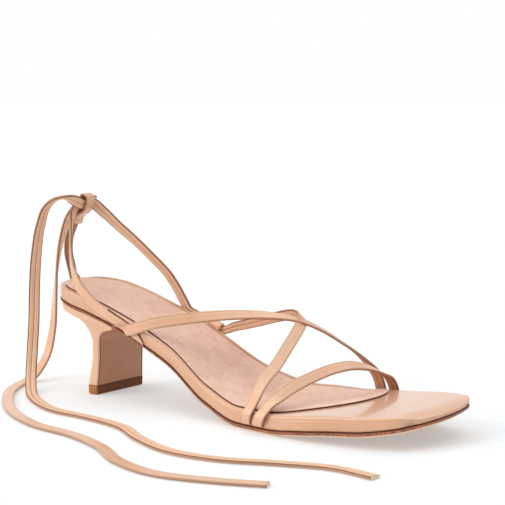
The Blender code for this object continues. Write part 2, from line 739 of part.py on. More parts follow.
waist_tab = strip("waist_tab", root_tab + tab_knots(outline, run_tab), TAB_WIDE)
back_strap = strip("back_strap", root_back + knots(BACK_STRAP) + loop_knots())
seat_l = [tie_seat(TIE_SEAT_BACK, y) for y in (0.3, 1.0, 1.7, 5.6)]
seat_m = [tie_seat(TIE_SEAT_FRONT, y) for y in (5.6, 1.7, 1.0, -2.6)]
lateral_tie = strip("lateral_tie", tie_start + knots(LATERAL_TIE) + seat_l[:2])
medial_tie = strip("medial_tie", lace_start + knots(MEDIAL_TIE) + seat_m[:2])
lateral_tail = strip("lateral_tail", seat_l[2:] + knots(LATERAL_TAIL), step=TAIL_STEP)
medial_tail = strip("medial_tail", seat_m[2:] + knots(MEDIAL_TAIL), step=TAIL_STEP)

room = 2 * GAP + 0.1
slots = (
    (run_a[0], STRAP_WIDE + 3.0, over_reach, WRAP_SLANT),
    (run_back, STRAP_WIDE, 0.0, 0.0),
    (run_tab, TAB_WIDE, over_reach, 0.0),
    ((run_b + run_c[0]) / 2, STRAP_WIDE + abs(run_c[0] - run_b), 0.0, 0.0),
    ((run_a[1] + run_c[1]) / 2, STRAP_WIDE + abs(run_c[1] - run_a[1]), 0.0, 0.0),
)
for number, (run, wide, reach, slant) in enumerate(slots):
    rows = tuck(outline, run, reach, TUCK + 1.0, 6.6, slant)[:4]
    combine(footbed, strip("slot_%d" % number, rows, wide + room, STRAP_THICK + (2 if slant else 1) * room), "DIFFERENCE")

centre_on_floor((footbed, outsole, sock, heel, lift, upper, toe_strap, waist_tab, back_strap, lateral_tie, medial_tie))
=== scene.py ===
import math

import bpy
import numpy as np
from mathutils import Matrix, Vector


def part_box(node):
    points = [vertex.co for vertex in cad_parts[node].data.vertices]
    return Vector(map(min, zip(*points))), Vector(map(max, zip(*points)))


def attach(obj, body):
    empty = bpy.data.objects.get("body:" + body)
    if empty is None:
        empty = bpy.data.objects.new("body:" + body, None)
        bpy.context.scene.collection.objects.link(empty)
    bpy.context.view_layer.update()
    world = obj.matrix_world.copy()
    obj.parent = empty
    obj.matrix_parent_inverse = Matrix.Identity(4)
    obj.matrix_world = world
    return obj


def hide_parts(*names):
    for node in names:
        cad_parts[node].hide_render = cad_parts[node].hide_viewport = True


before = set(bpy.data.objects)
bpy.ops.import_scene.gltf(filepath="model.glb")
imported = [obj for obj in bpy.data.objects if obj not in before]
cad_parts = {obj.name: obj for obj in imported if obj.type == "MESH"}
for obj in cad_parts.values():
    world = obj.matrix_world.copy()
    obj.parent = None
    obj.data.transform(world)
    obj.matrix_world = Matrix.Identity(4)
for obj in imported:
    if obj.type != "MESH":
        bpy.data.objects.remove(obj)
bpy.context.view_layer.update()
mm = 0.001

sole = {
    "length": 240.0, "heelDepth": 25.0, "bedThick": 7.2, "outsoleThick": 2.8, "gap": 0.3,
    "toeBulge": 6.4, "toeCorner": 6.5, "toeSkew": (-5.6, 1.0),  # how far the outer and inner corner are moved
    # the toe is twisted, higher on its inner side: rise of its top and of its seam, start and end, half width
    "topRoll": 0.9, "seamRoll": 1.6, "rollSpan": (190.0, 228.0), "rollHalf": 25.0,
    # the top rolls over at the toe's front: depth and reach
    # and fades at both corners: where, and over how much of the width
    "toeEase": (2.6, 10.0), "easeFade": ((-0.03, 0.25), (1.02, 0.34)),
    # the dish keeps clear of the rim and starts some way from the back
    "dishRim": 4.0, "dishStart": (4.0, 18.0),
    # faces along and across, then points of the plan edge; its sides start heelSplit steps round the heel
    "along": 150, "across": 100, "sidePoints": 260, "searchPoints": 1600, "turnStep": 1.5, "heelSplit": 24,
    "frontSpan": (0.14, 0.86), "frontPoints": 60, "bendSpan": (0.04, 0.96), "bendPoints": 23,
    # x, outer half, inner half, top, dish, thickness
    "last": [
        (0.0, 0.0, 0.0, 57.4, 0.0, 7.2), (5.0, 0.0, 0.0, 57.0, 0.6, 7.2), (28.0, 23.2, 23.6, 52.9, 1.4, 7.2),
        (58.0, 24.2, 22.6, 44.6, 1.0, 7.2), (88.0, 24.7, 22.8, 32.4, 0.8, 7.2),
        (118.0, 30.0, 28.6, 16.2, 0.8, 7.2), (142.0, 34.9, 35.9, 10.0, 0.8, 7.2),
        (162.0, 37.2, 40.3, 10.0, 0.6, 7.2), (178.0, 38.1, 41.4, 11.6, 0.2, 7.2),
        (205.0, 34.8, 36.7, 14.4, 0.0, 6.6), (226.0, 29.0, 28.8, 16.6, 0.0, 4.5),
        (239.0, 24.4, 23.8, 18.0, 0.0, 3.9),
    ],
    # the outsole is skived thin under the heel seat: x, share of its thickness
    "skive": [(0.0, 0.54), (40.0, 0.58), (80.0, 0.84), (118.0, 0.94), (138.0, 1.0), (240.0, 1.0)],
}

# tables count millimetres from the back of the heel seat, so home moves them into the frame
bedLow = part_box("footbed")[0]
widest = max(row[1] for row in sole["last"])
home = np.array([bedLow[0] / mm, bedLow[1] / mm + widest, 0.0])


def softStep(share):
    share = np.clip(share, 0, 1)
    return share * share * (3 - 2 * share)


def hermite(t, gap):
    # shares of a first value and its slope, then of a second value and its slope
    return (1 + 2 * t) * (1 - t) ** 2, t * (1 - t) ** 2 * gap, t * t * (3 - 2 * t), t * t * (t - 1) * gap


def smoothTable(xs, ys):
    # a curve through the rows that never overshoots them
    xs, ys = np.array(xs, float), np.array(ys, float)
    width = np.diff(xs)
    rise = np.diff(ys) / width
    slope = np.zeros(len(xs))
    for k in range(1, len(xs) - 1):
        if rise[k - 1] * rise[k] > 0:
            first, second = 2 * width[k] + width[k - 1], width[k] + 2 * width[k - 1]
            slope[k] = (first + second) / (first / rise[k - 1] + second / rise[k])
    slope[0], slope[-1] = rise[0], rise[-1]

    def value(x):
        x = np.clip(np.asarray(x, float), xs[0], xs[-1])
        k = np.clip(np.searchsorted(xs, x) - 1, 0, len(width) - 1)
        start, leaving, end, arriving = hermite((x - xs[k]) / width[k], width[k])
        return start * ys[k] + leaving * slope[k] + end * ys[k + 1] + arriving * slope[k + 1]

    return value


lastColumns = list(zip(*sole["last"]))
topLine, dishLine, thickLine = (smoothTable(lastColumns[0], column) for column in lastColumns[3:])
sidedColumns = list(zip(*(row for row in sole["last"] if row[0] >= sole["heelDepth"])))
lateralHalf, medialHalf = (smoothTable(sidedColumns[0], column) for column in sidedColumns[1:3])
skiveLine = smoothTable(*zip(*sole["skive"]))


def toeRoll(most, x, y):
    start, full = sole["rollSpan"]
    return most * softStep((x - start) / (full - start)) * y / sole["rollHalf"]


def toeCorners():
    outer, inner = (sole["length"] - sole["toeBulge"] + skew for skew in sole["toeSkew"])
    return (outer, -lateralHalf(outer)), (inner, medialHalf(inner))


def toeFront(t):
    # bowed front edge of the toe, from its outer corner (0) to its inner one (1)
    (outerX, outerY), (innerX, innerY) = toeCorners()
    bow = sole["toeBulge"] * (1 - (2 * t - 1) ** 2)
    return outerX + (innerX - outerX) * t + bow, outerY + (innerY - outerY) * t


def toeEase(x, y):
    outerY, innerY = (corner[1] for corner in toeCorners())
    t = (y - outerY) / (innerY - outerY)
    most, reach = sole["toeEase"]
    (outerEnd, outerFade), (innerEnd, innerFade) = sole["easeFade"]
    clear = softStep(np.minimum((t - outerEnd) / outerFade, (innerEnd - t) / innerFade))
    return most * clear * np.clip(1 - (toeFront(t)[0] - x) / reach, 0, 1) ** 2


def bedTop(x, y):
    middle = (medialHalf(x) - lateralHalf(x)) / 2
    half = (medialHalf(x) + lateralHalf(x)) / 2 - sole["dishRim"]
    start, span = sole["dishStart"]
    dish = dishLine(x) * np.clip((x - start) / span, 0, 1) * softStep(1 - np.abs(y - middle) / half)
    return topLine(x) + toeRoll(sole["topRoll"], x, y) - toeEase(x, y) - dish


def seamZ(x, y=0.0):
    return topLine(x) - thickLine(x) + toeRoll(sole["seamRoll"], x, y)


def crowd(count, pull=0.62):
    # even steps, drawn closer together at both ends
    t = np.linspace(0, 1, count + 1)
    return t - pull * np.sin(2 * np.pi * t) / (2 * np.pi)


class SoleEdge:
    # plan edge of the sole, from the back of the heel round the outer side, the toe and the inner side

    def __init__(self):
        depth = sole["heelDepth"]
        outer, inner = toeCorners()
        sides = [np.linspace(depth, tip[0] - sole["toeCorner"], sole["sidePoints"]) for tip in (outer, inner)]
        turns = np.radians(np.arange(0, 90, sole["turnStep"]))
        points = [(depth * (1 - math.cos(t)), -lateralHalf(depth) * math.sin(t)) for t in turns]
        points += [(x, -lateralHalf(x)) for x in sides[0]]
        front = [toeFront(t) for t in np.linspace(*sole["frontSpan"], sole["frontPoints"])]
        self.toeLateral = len(points) + sole["bendPoints"] // 2
        points += self.bend(points[-1], outer, front[0])
        points += front
        self.toeMedial = len(points) + sole["bendPoints"] // 2
        points += self.bend(front[-1], inner, (sides[1][-1], medialHalf(sides[1][-1])))
        points += [(x, medialHalf(x)) for x in sides[1][::-1]]
        points += [(depth * (1 - math.cos(t)), medialHalf(depth) * math.sin(t)) for t in turns[::-1]]
        self.points = np.array(points, float)
        self.points[-1] = self.points[0]
        step = np.gradient(self.points, axis=0)
        step[0] = step[-1] = (0.0, -1.0)
        step /= np.linalg.norm(step, axis=1)[:, None]
        self.out = np.stack([step[:, 1], -step[:, 0]], axis=1)
        self.run = np.r_[0, np.cumsum(np.linalg.norm(np.diff(self.points, axis=0), axis=1))]
        self.heelLateral, self.heelMedial = self.run[sole["heelSplit"]], self.run[-1 - sole["heelSplit"]]

    def bend(self, start, corner, end):
        arc = []
        for t in np.linspace(*sole["bendSpan"], sole["bendPoints"]):
            share = ((1 - t) ** 2, 2 * t * (1 - t), t * t)
            arc.append(tuple(share[0] * start[k] + share[1] * corner[k] + share[2] * end[k] for k in (0, 1)))
        return arc

    def at(self, run, inset=0.0):
        moved = self.points - inset * self.out
        return np.stack([np.interp(run, self.run, moved[:, k]) for k in (0, 1)], axis=-1)

    def away(self, run):
        return np.array([np.interp(run, self.run, self.out[:, k]) for k in (0, 1)])

    def runAt(self, side, x):
        start, end = (self.heelLateral, self.toeLateral) if side < 0 else (self.heelMedial, self.toeMedial)
        runs = np.linspace(start, self.run[end], sole["searchPoints"])
        return runs[np.argmin(np.abs(self.at(runs)[:, 0] - x))]

    def runs(self, front=None):
        along, across = sole["along"], sole["across"]
        toeL, toeM = self.run[self.toeLateral], self.run[self.toeMedial]
        if front:
            toeL, toeM = self.runAt(-1, front[0]), self.runAt(1, front[1])
        total = self.run[-1]
        lateral = self.heelLateral + (toeL - self.heelLateral) * crowd(along)
        toe = toeL + (toeM - toeL) * crowd(across)
        medial = toeM + (self.heelMedial - toeM) * crowd(along)
        backRun = total - self.heelMedial + self.heelLateral
        heel = (self.heelMedial + backRun * np.linspace(0, 1, across + 1)) % total
        return lateral, toe, medial, heel

    def edges(self, inset, front=None, swell=None):
        found = []
        for run in self.runs(front):
            plan = self.at(run, inset)
            if swell is not None:
                plan = plan + swell(run)[:, None] * self.away(run).T
            found.append(plan)
        if front:
            t = np.linspace(0, 1, sole["across"] + 1)[:, None]
            toe = found[0][-1] * (1 - t) + found[2][0] * t
            toe[:, 0] += front[2] * (4 * t * (1 - t))[:, 0] ** front[3]
            found[1] = toe
        return found


soleEdge = SoleEdge()


def spanGrid(lateral, toe, medial, heel):
    u = np.linspace(0, 1, len(lateral))[:, None, None]
    v = np.linspace(0, 1, len(toe))[None, :, None]
    sides = (1 - v) * lateral[:, None] + v * medial[::-1][:, None]
    ends = (1 - u) * heel[::-1][None] + u * toe[None]
    corners = (1 - u) * ((1 - v) * lateral[0] + v * medial[-1]) + u * ((1 - v) * lateral[-1] + v * medial[0])
    return sides + ends - corners


def ringOf(edges):
    return np.concatenate([edge[:-1] for edge in edges])


def gridRing(rows, columns):
    number = np.arange(rows * columns).reshape(rows, columns)
    return np.concatenate([e[:-1] for e in (number[:, 0], number[-1, :], number[::-1, -1], number[0, ::-1])])


def addObject(name, data):
    made = bpy.data.objects.new(name, data)
    bpy.context.scene.collection.objects.link(made)
    return made


def makePiece(name, points, faces, materials, slots=None, uv=None):
    mesh = bpy.data.meshes.new(name)
    mesh.from_pydata([tuple((np.asarray(p) + home) * mm) for p in points], [], faces)
    mesh.polygons.foreach_set("use_smooth", [True] * len(faces))
    for material in materials:
        mesh.materials.append(material)
    if slots is not None:
        mesh.polygons.foreach_set("material_index", slots)
    if uv is not None:
        layer = mesh.uv_layers.new(name="strip")
        layer.data.foreach_set("uv", np.array([uv[k] for face in faces for k in face], float).ravel())
    mesh.update()
    return addObject(name, mesh)


def stackRings(rings, under, over):
    # closed shell from rings listed upward, a grid closing each end; also says which band each face is in
    count = len(rings[0])
    points = [under.reshape(-1, 3)] + [np.array(r) for r in rings[1:-1]] + [over.reshape(-1, 3)]
    starts = np.cumsum([0] + [len(p) for p in points])
    numbers = [gridRing(*under.shape[:2])]
    numbers += [starts[k] + np.arange(count) for k in range(1, len(rings) - 1)]
    numbers += [starts[len(points) - 1] + gridRing(*over.shape[:2])]
    faces, bands = [], []
    for band, (low, high) in enumerate(zip(numbers, numbers[1:])):
        for k in range(count):
            after = (k + 1) % count
            faces.append((int(low[k]), int(low[after]), int(high[after]), int(high[k])))
            bands.append(band)
    for grid, start, band in ((under, 0, -1), (over, starts[len(points) - 1], -2)):
        rows, columns = grid.shape[:2]
        for i in range(rows - 1):
            for j in range(columns - 1):
                corner = int(start + i * columns + j)
                face = (corner, corner + columns, corner + columns + 1, corner + 1)
                faces.append(face if band == -2 else face[::-1])
                bands.append(band)
    return np.concatenate(points), faces, bands


def stackLevels(levels, height):
    # levels are listed upward: the four edges of each, then what its height is worked out from
    def raised(plan, facts):
        z = np.broadcast_to(height(plan, *facts), plan.shape[:-1])
        return np.concatenate([plan, z[..., None]], axis=-1)

    loops = [raised(ringOf(edges), facts) for edges, *facts in levels]
    under, over = (raised(spanGrid(*edges), facts) for edges, *facts in (levels[0], levels[-1]))
    return stackRings(loops, under, over)


def soleLayer(profile, height, front=None, swell=None):
    levels = [(soleEdge.edges(inset, front, swell and (lambda run: swell(run, rise))), rise)
              for inset, rise in profile]
    return stackLevels(levels, lambda plan, rise: height(plan[..., 0], plan[..., 1], rise))


# one socket of a shader tree, so that sums on it read as sums
class Wire:
    def __init__(self, tree, socket):
        self.tree, self.socket = tree, socket

    def sum(self, operation, first, second):
        node = self.tree.nodes.new("ShaderNodeMath")
        node.operation = operation
        for slot, value in zip(node.inputs, (first, second)):
            if isinstance(value, Wire):
                self.tree.links.new(value.socket, slot)
            else:
                slot.default_value = value
        return Wire(self.tree, node.outputs[0])

    def __add__(self, other):
        return self.sum("ADD", self, other)

    def __radd__(self, other):
        return self.sum("ADD", other, self)

    def __sub__(self, other):
        return self.sum("SUBTRACT", self, other)

    def __rsub__(self, other):
        return self.sum("SUBTRACT", other, self)

    def __mul__(self, other):
        return self.sum("MULTIPLY", self, other)

    def __rmul__(self, other):
        return self.sum("MULTIPLY", other, self)


class Finish:
    def __init__(self, name, **constants):
        self.material = bpy.data.materials.new(name)
        self.material.use_nodes = True
        self.tree = self.material.node_tree
        self.shader = self.tree.nodes["Principled BSDF"]
        for key, value in constants.items():
            self.shader.inputs[key].default_value = value

    def node(self, kind, settings, sockets, out=0):
        made = self.tree.nodes.new(kind)
        for key, value in settings.items():
            if key == "stops":
                ramp = made.color_ramp
                while len(ramp.elements) < len(value):
                    ramp.elements.new(0.5)
                for element, (place, colour) in zip(ramp.elements, value):
                    element.position, element.color = place, colour
            else:
                setattr(made, key, value)
        for key, value in sockets.items():
            slot = made.inputs[key]
            if isinstance(value, Wire):
                self.tree.links.new(value.socket, slot)
            else:
                slot.default_value = value
        return Wire(self.tree, made.outputs[out])

    def feed(self, key, wire):
        self.tree.links.new(wire.socket, self.shader.inputs[key])

    def place(self):
        return self.node("ShaderNodeTexCoord", {}, {}, "Object")

    def offMiddle(self):
        # from the middle of a strip (0) to its edges (0.5)
        strip = self.node("ShaderNodeUVMap", {"uv_map": "strip"}, {})
        across = self.node("ShaderNodeSeparateXYZ", {}, {"Vector": strip}, "X")
        return self.node("ShaderNodeMath", {"operation": "ABSOLUTE"}, {0: across - 0.5})

    def noise(self, where, scale, detail=3.0, stretch=None):
        if stretch:
            where = self.node("ShaderNodeMapping", {}, {"Vector": where, "Scale": stretch})
        return self.node("ShaderNodeTexNoise", {}, {"Vector": where, "Scale": scale, "Detail": detail}, "Fac")

    def ramp(self, fac, stops):
        return self.node("ShaderNodeValToRGB", {"stops": stops}, {"Fac": fac})

    def mix(self, fac, first, second):  # sockets 0, 6 and 7 are the factor and two colours
        return self.node("ShaderNodeMix", {"data_type": "RGBA"}, {0: fac, 6: first, 7: second}, 2)

    def bump(self, height, strength, distance):
        sockets = {"Strength": strength, "Distance": distance, "Height": height}
        self.feed("Normal", self.node("ShaderNodeBump", {}, sockets))


black, white = (0.0, 0.0, 0.0, 1.0), (1.0, 1.0, 1.0, 1.0)


def tone(*screen):
    # a colour as a screen counts it, 0 to 255, made linear
    shares = (part / 255 for part in screen)
    return tuple(s / 12.92 if s < 0.04 else ((s + 0.055) / 1.055) ** 2.4 for s in shares) + (1.0,)


def calfBody(made, light, deep, rough, grain):
    where = made.place()
    cloud = made.noise(where, 26.0, 4.0)
    fine = made.noise(where, 900.0, 3.0)
    pores = made.noise(where, 2600.0, 2.0)
    made.feed("Roughness", rough + (fine - 0.5) * grain)
    made.bump(fine * 0.7 + pores * 0.3, grain, 0.0002)
    return made.mix(made.ramp(cloud, [(0.3, black), (0.72, white)]), tone(*deep), tone(*light))


def calfFinish(name, light, deep, rough, grain=0.08, coat=0.25, coatRough=0.2):
    made = Finish(name, **{"Coat Weight": coat, "Coat Roughness": coatRough})
    made.feed("Base Color", calfBody(made, light, deep, rough, grain))
    return made.material


def stripFinish(name, light, deep, highlightTone, line, rough):
    # outer face of a folded strip: a painted highlight along a faint ridge, painted shade along a groove
    # beside both turned edges, and painted shade at the turned edges
    made = Finish(name, **{"Coat Weight": 0.35, "Coat Roughness": 0.18})
    body, off = calfBody(made, light, deep, rough, 0.08), made.offMiddle()
    grooveShade = made.ramp(off, [(0.31, black), (0.36, white), (0.41, black)])
    ridgeHighlight = made.ramp(off, [(0.2, black), (0.26, white), (0.31, black)])
    # painted shade along both turned edges
    rim = made.ramp(off, [(0.45, black), (0.475, white)])
    body = made.mix(ridgeHighlight * 0.35, body, tone(*highlightTone))
    made.feed("Base Color", made.mix(grooveShade * 0.4 + rim * 0.6, body, tone(*line)))
    return made.material


def seamFinish(name, light, deep, line):
    # inner face of a folded strip: the two turned edges meet along the middle
    made = Finish(name, **{"Roughness": 0.6})
    where, off = made.place(), made.offMiddle()
    seam = made.ramp(off, [(0.012, white), (0.05, black)])
    stripes = made.ramp(off, [(0.16, black), (0.2, white), (0.24, black)])
    body = made.mix(made.noise(where, 180.0, 4.0), tone(*deep), tone(*light))
    made.feed("Base Color", made.mix(seam * 0.65 + stripes * 0.25, body, tone(*line)))
    made.bump(made.noise(where, 1500.0, 3.0), 0.16, 0.0002)
    return made.material


def napFinish(name, light, deep):
    made = Finish(name, **{"Roughness": 0.85})
    where = made.place()
    speck = made.noise(where, 950.0, 4.0)
    share = made.ramp(speck, [(0.35, black), (0.65, white)])
    made.feed("Base Color", made.mix(share, tone(*deep), tone(*light)))
    made.bump(speck, 0.5, 0.0004)
    return made.material


def liningFinish(name, light, mid, deep):
    made = Finish(name, **{"Sheen Weight": 0.15})
    where = made.place()
    broad = made.noise(where, 30.0, 5.0, (0.4, 1.0, 0.4))
    mottle = made.noise(where, 150.0, 6.0, (0.8, 1.0, 0.8))
    fleck = made.noise(where, 430.0, 4.0)
    nap = made.noise(where, 1300.0, 3.0)
    body = made.mix(made.ramp(broad, [(0.36, black), (0.64, white)]), tone(*mid), tone(*light))
    spots = made.ramp(mottle, [(0.3, white), (0.6, black)])
    flecks = made.ramp(fleck, [(0.36, white), (0.58, black)])
    made.feed("Base Color", made.mix(spots * 0.35 + flecks * 0.3, body, tone(*deep)))
    made.feed("Roughness", 0.62 + (nap - 0.5) * 0.2)
    made.bump(nap * 0.6 + mottle * 0.4, 0.14, 0.0004)
    return made.material


def waxEdgeFinish(name, light, deep):
    made = Finish(name)
    where = made.place()
    streak = made.noise(where, 300.0, 4.0, (0.35, 0.35, 1.6))
    grit = made.noise(where, 1500.0, 3.0)
    share = made.ramp(streak * 0.4 + grit * 0.6, [(0.42, black), (0.58, white)])
    made.feed("Base Color", made.mix(share, tone(*deep), tone(*light)))
    made.feed("Roughness", 0.5 + (grit - 0.5) * 0.4)
    made.bump(grit, 0.5, 0.0005)
    return made.material


def plainFinish(name, colour, rough, grain=0.0):
    made = Finish(name, **{"Base Color": tone(*colour), "Roughness": rough})
    if grain:
        made.bump(made.noise(made.place(), 700.0, 3.0), grain, 0.0003)
    return made.material


# calf: light tone, deep tone, roughness, grain, coat, roughness of the coat
toeCalf = calfFinish("glossedCalf", (222, 171, 135), (212, 158, 121), 0.3, 0.02, 0.55, 0.09)
heelCalf = calfFinish("heelCalf", (234, 188, 155), (225, 176, 141), 0.36, 0.05, 0.3)
# darker tan for the inner rim's slope down to the lining: painted shade
rimSlopeShade = calfFinish("rimSlopeShade", (196, 146, 110), (184, 132, 96), 0.4, 0.05, 0.2)
# the breast takes a darker copy of the heel leather: painted shade under the arch
breastShadeCalf = calfFinish("breastShadeCalf", (188, 134, 97), (176, 121, 84), 0.42, 0.06, 0.15)
# dark line where the breast cover turns in at its edges: painted shade of the wrapped edge
breastEdgeShade = plainFinish("breastEdgeShade", (122, 76, 52), 0.6)
# the third tone is the painted highlight, the fourth the painted shade of the lines
stripFace = stripFinish("stripFace", (231, 182, 146), (220, 167, 130), (250, 216, 186), (140, 92, 62), 0.36)
# turned edges of the strips: painted shade of the fold's edge
stripEdgeShade = plainFinish("stripEdgeShade", (132, 86, 60), 0.6, 0.2)
# inner faces of the straps and tab: a darker copy of the ties' inner finish, painted shade
stripBackShaded = seamFinish("stripBackShaded", (200, 146, 108), (164, 111, 76), (88, 50, 32))
tieBack = seamFinish("tieBack", (244, 202, 168), (230, 184, 149), (128, 82, 54))
backNap = napFinish("backNap", (196, 146, 112), (150, 100, 70))
pinkLining = liningFinish("pinkLining", (245, 206, 183), (235, 189, 165), (212, 160, 136))
# dark cut edge of the sock lining; on the outer tie's edges the same finish is painted shade
darkCutAndShade = plainFinish("darkCutAndShade", (78, 41, 28), 0.7)
# dark lines on the outsole edge: painted shade of the gap under the footbed at the top, a dark line low on
# the edge
edgeLineAndGapShade = plainFinish("edgeLineAndGapShade", (112, 58, 38), 0.6, 0.2)
waxEdge = waxEdgeFinish("waxEdge", (206, 122, 80), (104, 54, 34))
tanBevel = plainFinish("tanBevel", (238, 200, 166), 0.5, 0.08)
soleFace = calfFinish("soleFace", (196, 150, 112), (178, 132, 96), 0.55, 0.2, 0.0)
liftRubber = plainFinish("liftRubber", (166, 102, 44), 0.6, 0.25)
# front faces and front edges of the top lift in a darker copy of the rubber: painted shade
liftFrontShade = plainFinish("liftFrontShade", (102, 56, 12), 0.7, 0.25)
creamCut = plainFinish("creamCut", (236, 208, 176), 0.65, 0.1)
thread = plainFinish("thread", (252, 242, 226), 0.6)
print("finishes ready")

footbed = {
    # inset and rise of the wrapped side, from its under edge to its top
    "side": [(1.0, 0.15), (0.55, 0.4), (0.25, 0.95), (0.08, 1.7), (0.0, 2.6), (0.0, 3.6), (0.02, 4.5),
             (0.06, 5.1), (0.24, 5.5), (0.12, 5.9), (0.17, 6.3), (0.36, 6.68), (0.72, 6.92), (1.2, 7.05),
             (1.8, 7.13), (2.4, 7.18), (3.0, 7.2)],
    # the inner rim stands over the lining: rise of a ring, height there; then where it starts and ends
    "innerRim": [(5.5, 0.0), (6.3, 0.35), (6.68, 0.7), (6.92, 1.0), (7.05, 1.0), (7.13, 0.75), (7.2, 0.0)],
    "rimStart": (2.0, 14.0), "rimEnd": (180.0, 30.0),
    # the slope from that rim down to the lining takes a darker tan, painted shade: least y, most x
    "slope": (6.0, 176.0),
    # gathers where the leather turns the toe corners: place past the corner, depth
    "gathers": [(1.4, 0.3), (2.6, 0.6), (3.8, 0.85), (5.0, 1.0),
                (6.2, 1.0), (7.4, 0.85), (8.6, 0.6), (9.8, 0.3)],
    "gatherHalf": 0.4, "gatherFade": (6.2, 3.0),
}


def innerShare(x, y, end):
    start, span = footbed["rimStart"]
    return softStep((y - start) / span) * np.clip((end[0] - x) / end[1], 0, 1)


def bedHeight(x, y, rise):
    rim = np.interp(rise, *zip(*footbed["innerRim"])) * innerShare(x, y, footbed["rimEnd"])
    return seamZ(x, y) + (bedTop(x, y) - seamZ(x, y)) * rise / sole["bedThick"] + rim


def bedSwell(run, rise):
    # small pleats low on the side at both toe corners
    total = np.zeros(len(run))
    high, span = footbed["gatherFade"]
    fade = np.clip((high - rise) / span, 0, 1)
    for corner, way in ((soleEdge.run[soleEdge.toeLateral], 1), (soleEdge.run[soleEdge.toeMedial], -1)):
        for place, depth in footbed["gathers"]:
            total -= depth * fade * np.exp(-((way * (run - corner) - place) / footbed["gatherHalf"]) ** 2)
    return total


def bedSlots(points, faces, bands):
    leastY, mostX = footbed["slope"]
    slopeBands = (len(footbed["side"]) - 3, len(footbed["side"]) - 2)
    firsts = [points[face[0]] for face in faces]
    return [int(band in slopeBands and y > leastY and x < mostX) for (x, y, z), band in zip(firsts, bands)]


points, faces, bands = soleLayer(footbed["side"], bedHeight, None, bedSwell)
slots = bedSlots(points, faces, bands)
bedPiece = makePiece("leatherFootbed", points, faces, [toeCalf, rimSlopeShade], slots)
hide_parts("footbed")
print("footbed", len(faces))

outsole = {
    # inset and rise against the seam, from the bevel up
    "side": [(2.4, -2.8), (1.5, -2.35), (0.75, -1.95), (0.25, -1.55), (0.05, -1.25),
             (0.0, -0.9), (0.03, -0.5), (0.3, -0.25), (0.9, -0.15)],
    # bands 6 and 7, at the top of the edge under the footbed, carry painted shade of the gap; band 3 is a
    # dark line low on the edge
    "bands": {0: 1, 1: 1, 2: 1, -1: 2, 3: 3, 6: 3, 7: 3},  # finish of a band, the rest is waxed edge
}


def outsoleHeight(x, y, rise):
    return seamZ(x, y) + rise * skiveLine(x)


points, faces, bands = soleLayer(outsole["side"], outsoleHeight)
slots = [outsole["bands"].get(band, 0) for band in bands]
outsolePiece = makePiece("leatherOutsole", points, faces, [waxEdge, tanBevel, soleFace, edgeLineAndGapShade], slots)
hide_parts("outsole")
print("outsole", len(faces))

sock = {
    "side": [(2.9, 0.02), (2.88, 0.37), (2.9, 0.7), (3.1, 0.86)],  # inset and rise
    "innerThick": 0.25, "thinEnd": (186.0, 20.0),
    "front": (158.0, 178.0, 19.0, 0.8),  # outer x, inner x, bow of the curved front and its power
}


def sockHeight(x, y, rise):
    # the cut edge stands proud on the outer side and lies lower than the rim on the inner one
    return bedTop(x, y) + rise * (1 - (1 - sock["innerThick"]) * innerShare(x, y, sock["thinEnd"]))


points, faces, bands = soleLayer(sock["side"], sockHeight, sock["front"])
slots = [1 if band in (0, 1) else 0 for band in bands]
sockPiece = makePiece("sockLining", points, faces, [pinkLining, darkCutAndShade], slots)
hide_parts("sock_lining")
print("sock lining", len(faces))

heel = {
    "breastCorner": 0.8, "turnedEdge": 0.75, "leastFlat": 2.2, "backSplit": 48.0,
    "levels": 72, "sidePoints": 12, "turnPoints": 10, "breastPoints": 25,
    # top lift: height and inset
    "liftCorner": 1.0, "liftSide": [(0.0, 0.5), (0.2, 0.2), (0.6, 0.0), (4.45, -0.1), (4.7, 0.1)],
    # back height, front height, back, front, half width, rounding
    "sections": [
        (48.5, 38.0, 0.9, 50.5, 22.4, 24.0), (46.1, 36.6, 0.9, 49.5, 22.2, 24.0),
        (45.6, 35.7, 3.8, 46.4, 21.7, 22.0), (44.8, 34.8, 9.5, 43.2, 21.0, 18.0),
        (42.5, 33.6, 15.8, 40.4, 20.1, 14.0), (38.9, 31.6, 21.4, 38.3, 19.2, 10.0),
        (34.2, 28.9, 25.4, 37.0, 18.4, 7.5), (28.8, 25.8, 27.2, 36.5, 17.9, 6.0),
        (20.0, 20.0, 27.2, 36.1, 17.6, 5.5), (12.0, 12.0, 26.0, 35.6, 17.8, 5.5),
        (5.0, 5.0, 24.5, 35.1, 18.3, 6.0),
    ],
}


def heelEdges(back, front, half, bulge, corner):
    def backPoint(angle):
        return (back + bulge * (1 - math.cos(angle)), half * math.sin(angle))

    split, turns, count = math.radians(heel["backSplit"]), heel["turnPoints"], heel["breastPoints"]
    arc = [backPoint(angle) for angle in np.linspace(split, math.pi / 2, heel["sidePoints"])]
    side = [(x, half) for x in np.linspace(back + bulge, front - corner, heel["sidePoints"])[1:]]
    turn = [(front - corner + corner * math.sin(angle), half - corner + corner * math.cos(angle))
            for angle in np.radians(np.linspace(90 / turns, 90, turns))]
    medial = np.array((arc + side + turn)[::-1])
    lateral = medial[::-1] * (1, -1)
    ys = np.linspace(-half + corner, half - corner, count)
    ys[1], ys[-2] = ys[0] + heel["turnedEdge"], ys[-1] - heel["turnedEdge"]
    breast = np.column_stack([np.full(count, front), ys])
    rear = np.array([backPoint(angle) for angle in np.linspace(split, -split, count)])
    return lateral, breast, medial, rear


def heelLevels():
    columns = [smoothTable(range(len(heel["sections"])), c) for c in zip(*heel["sections"])]
    last = len(heel["sections"]) - 1
    for t in np.linspace(last, 0, heel["levels"]):
        backZ, frontZ, back, front, half, bulge = (float(c(t)) for c in columns)
        bulge = min(bulge, front - back - heel["leastFlat"])
        edges = heelEdges(back, front, half, bulge, heel["breastCorner"])
        yield edges, t, backZ, frontZ, back, front


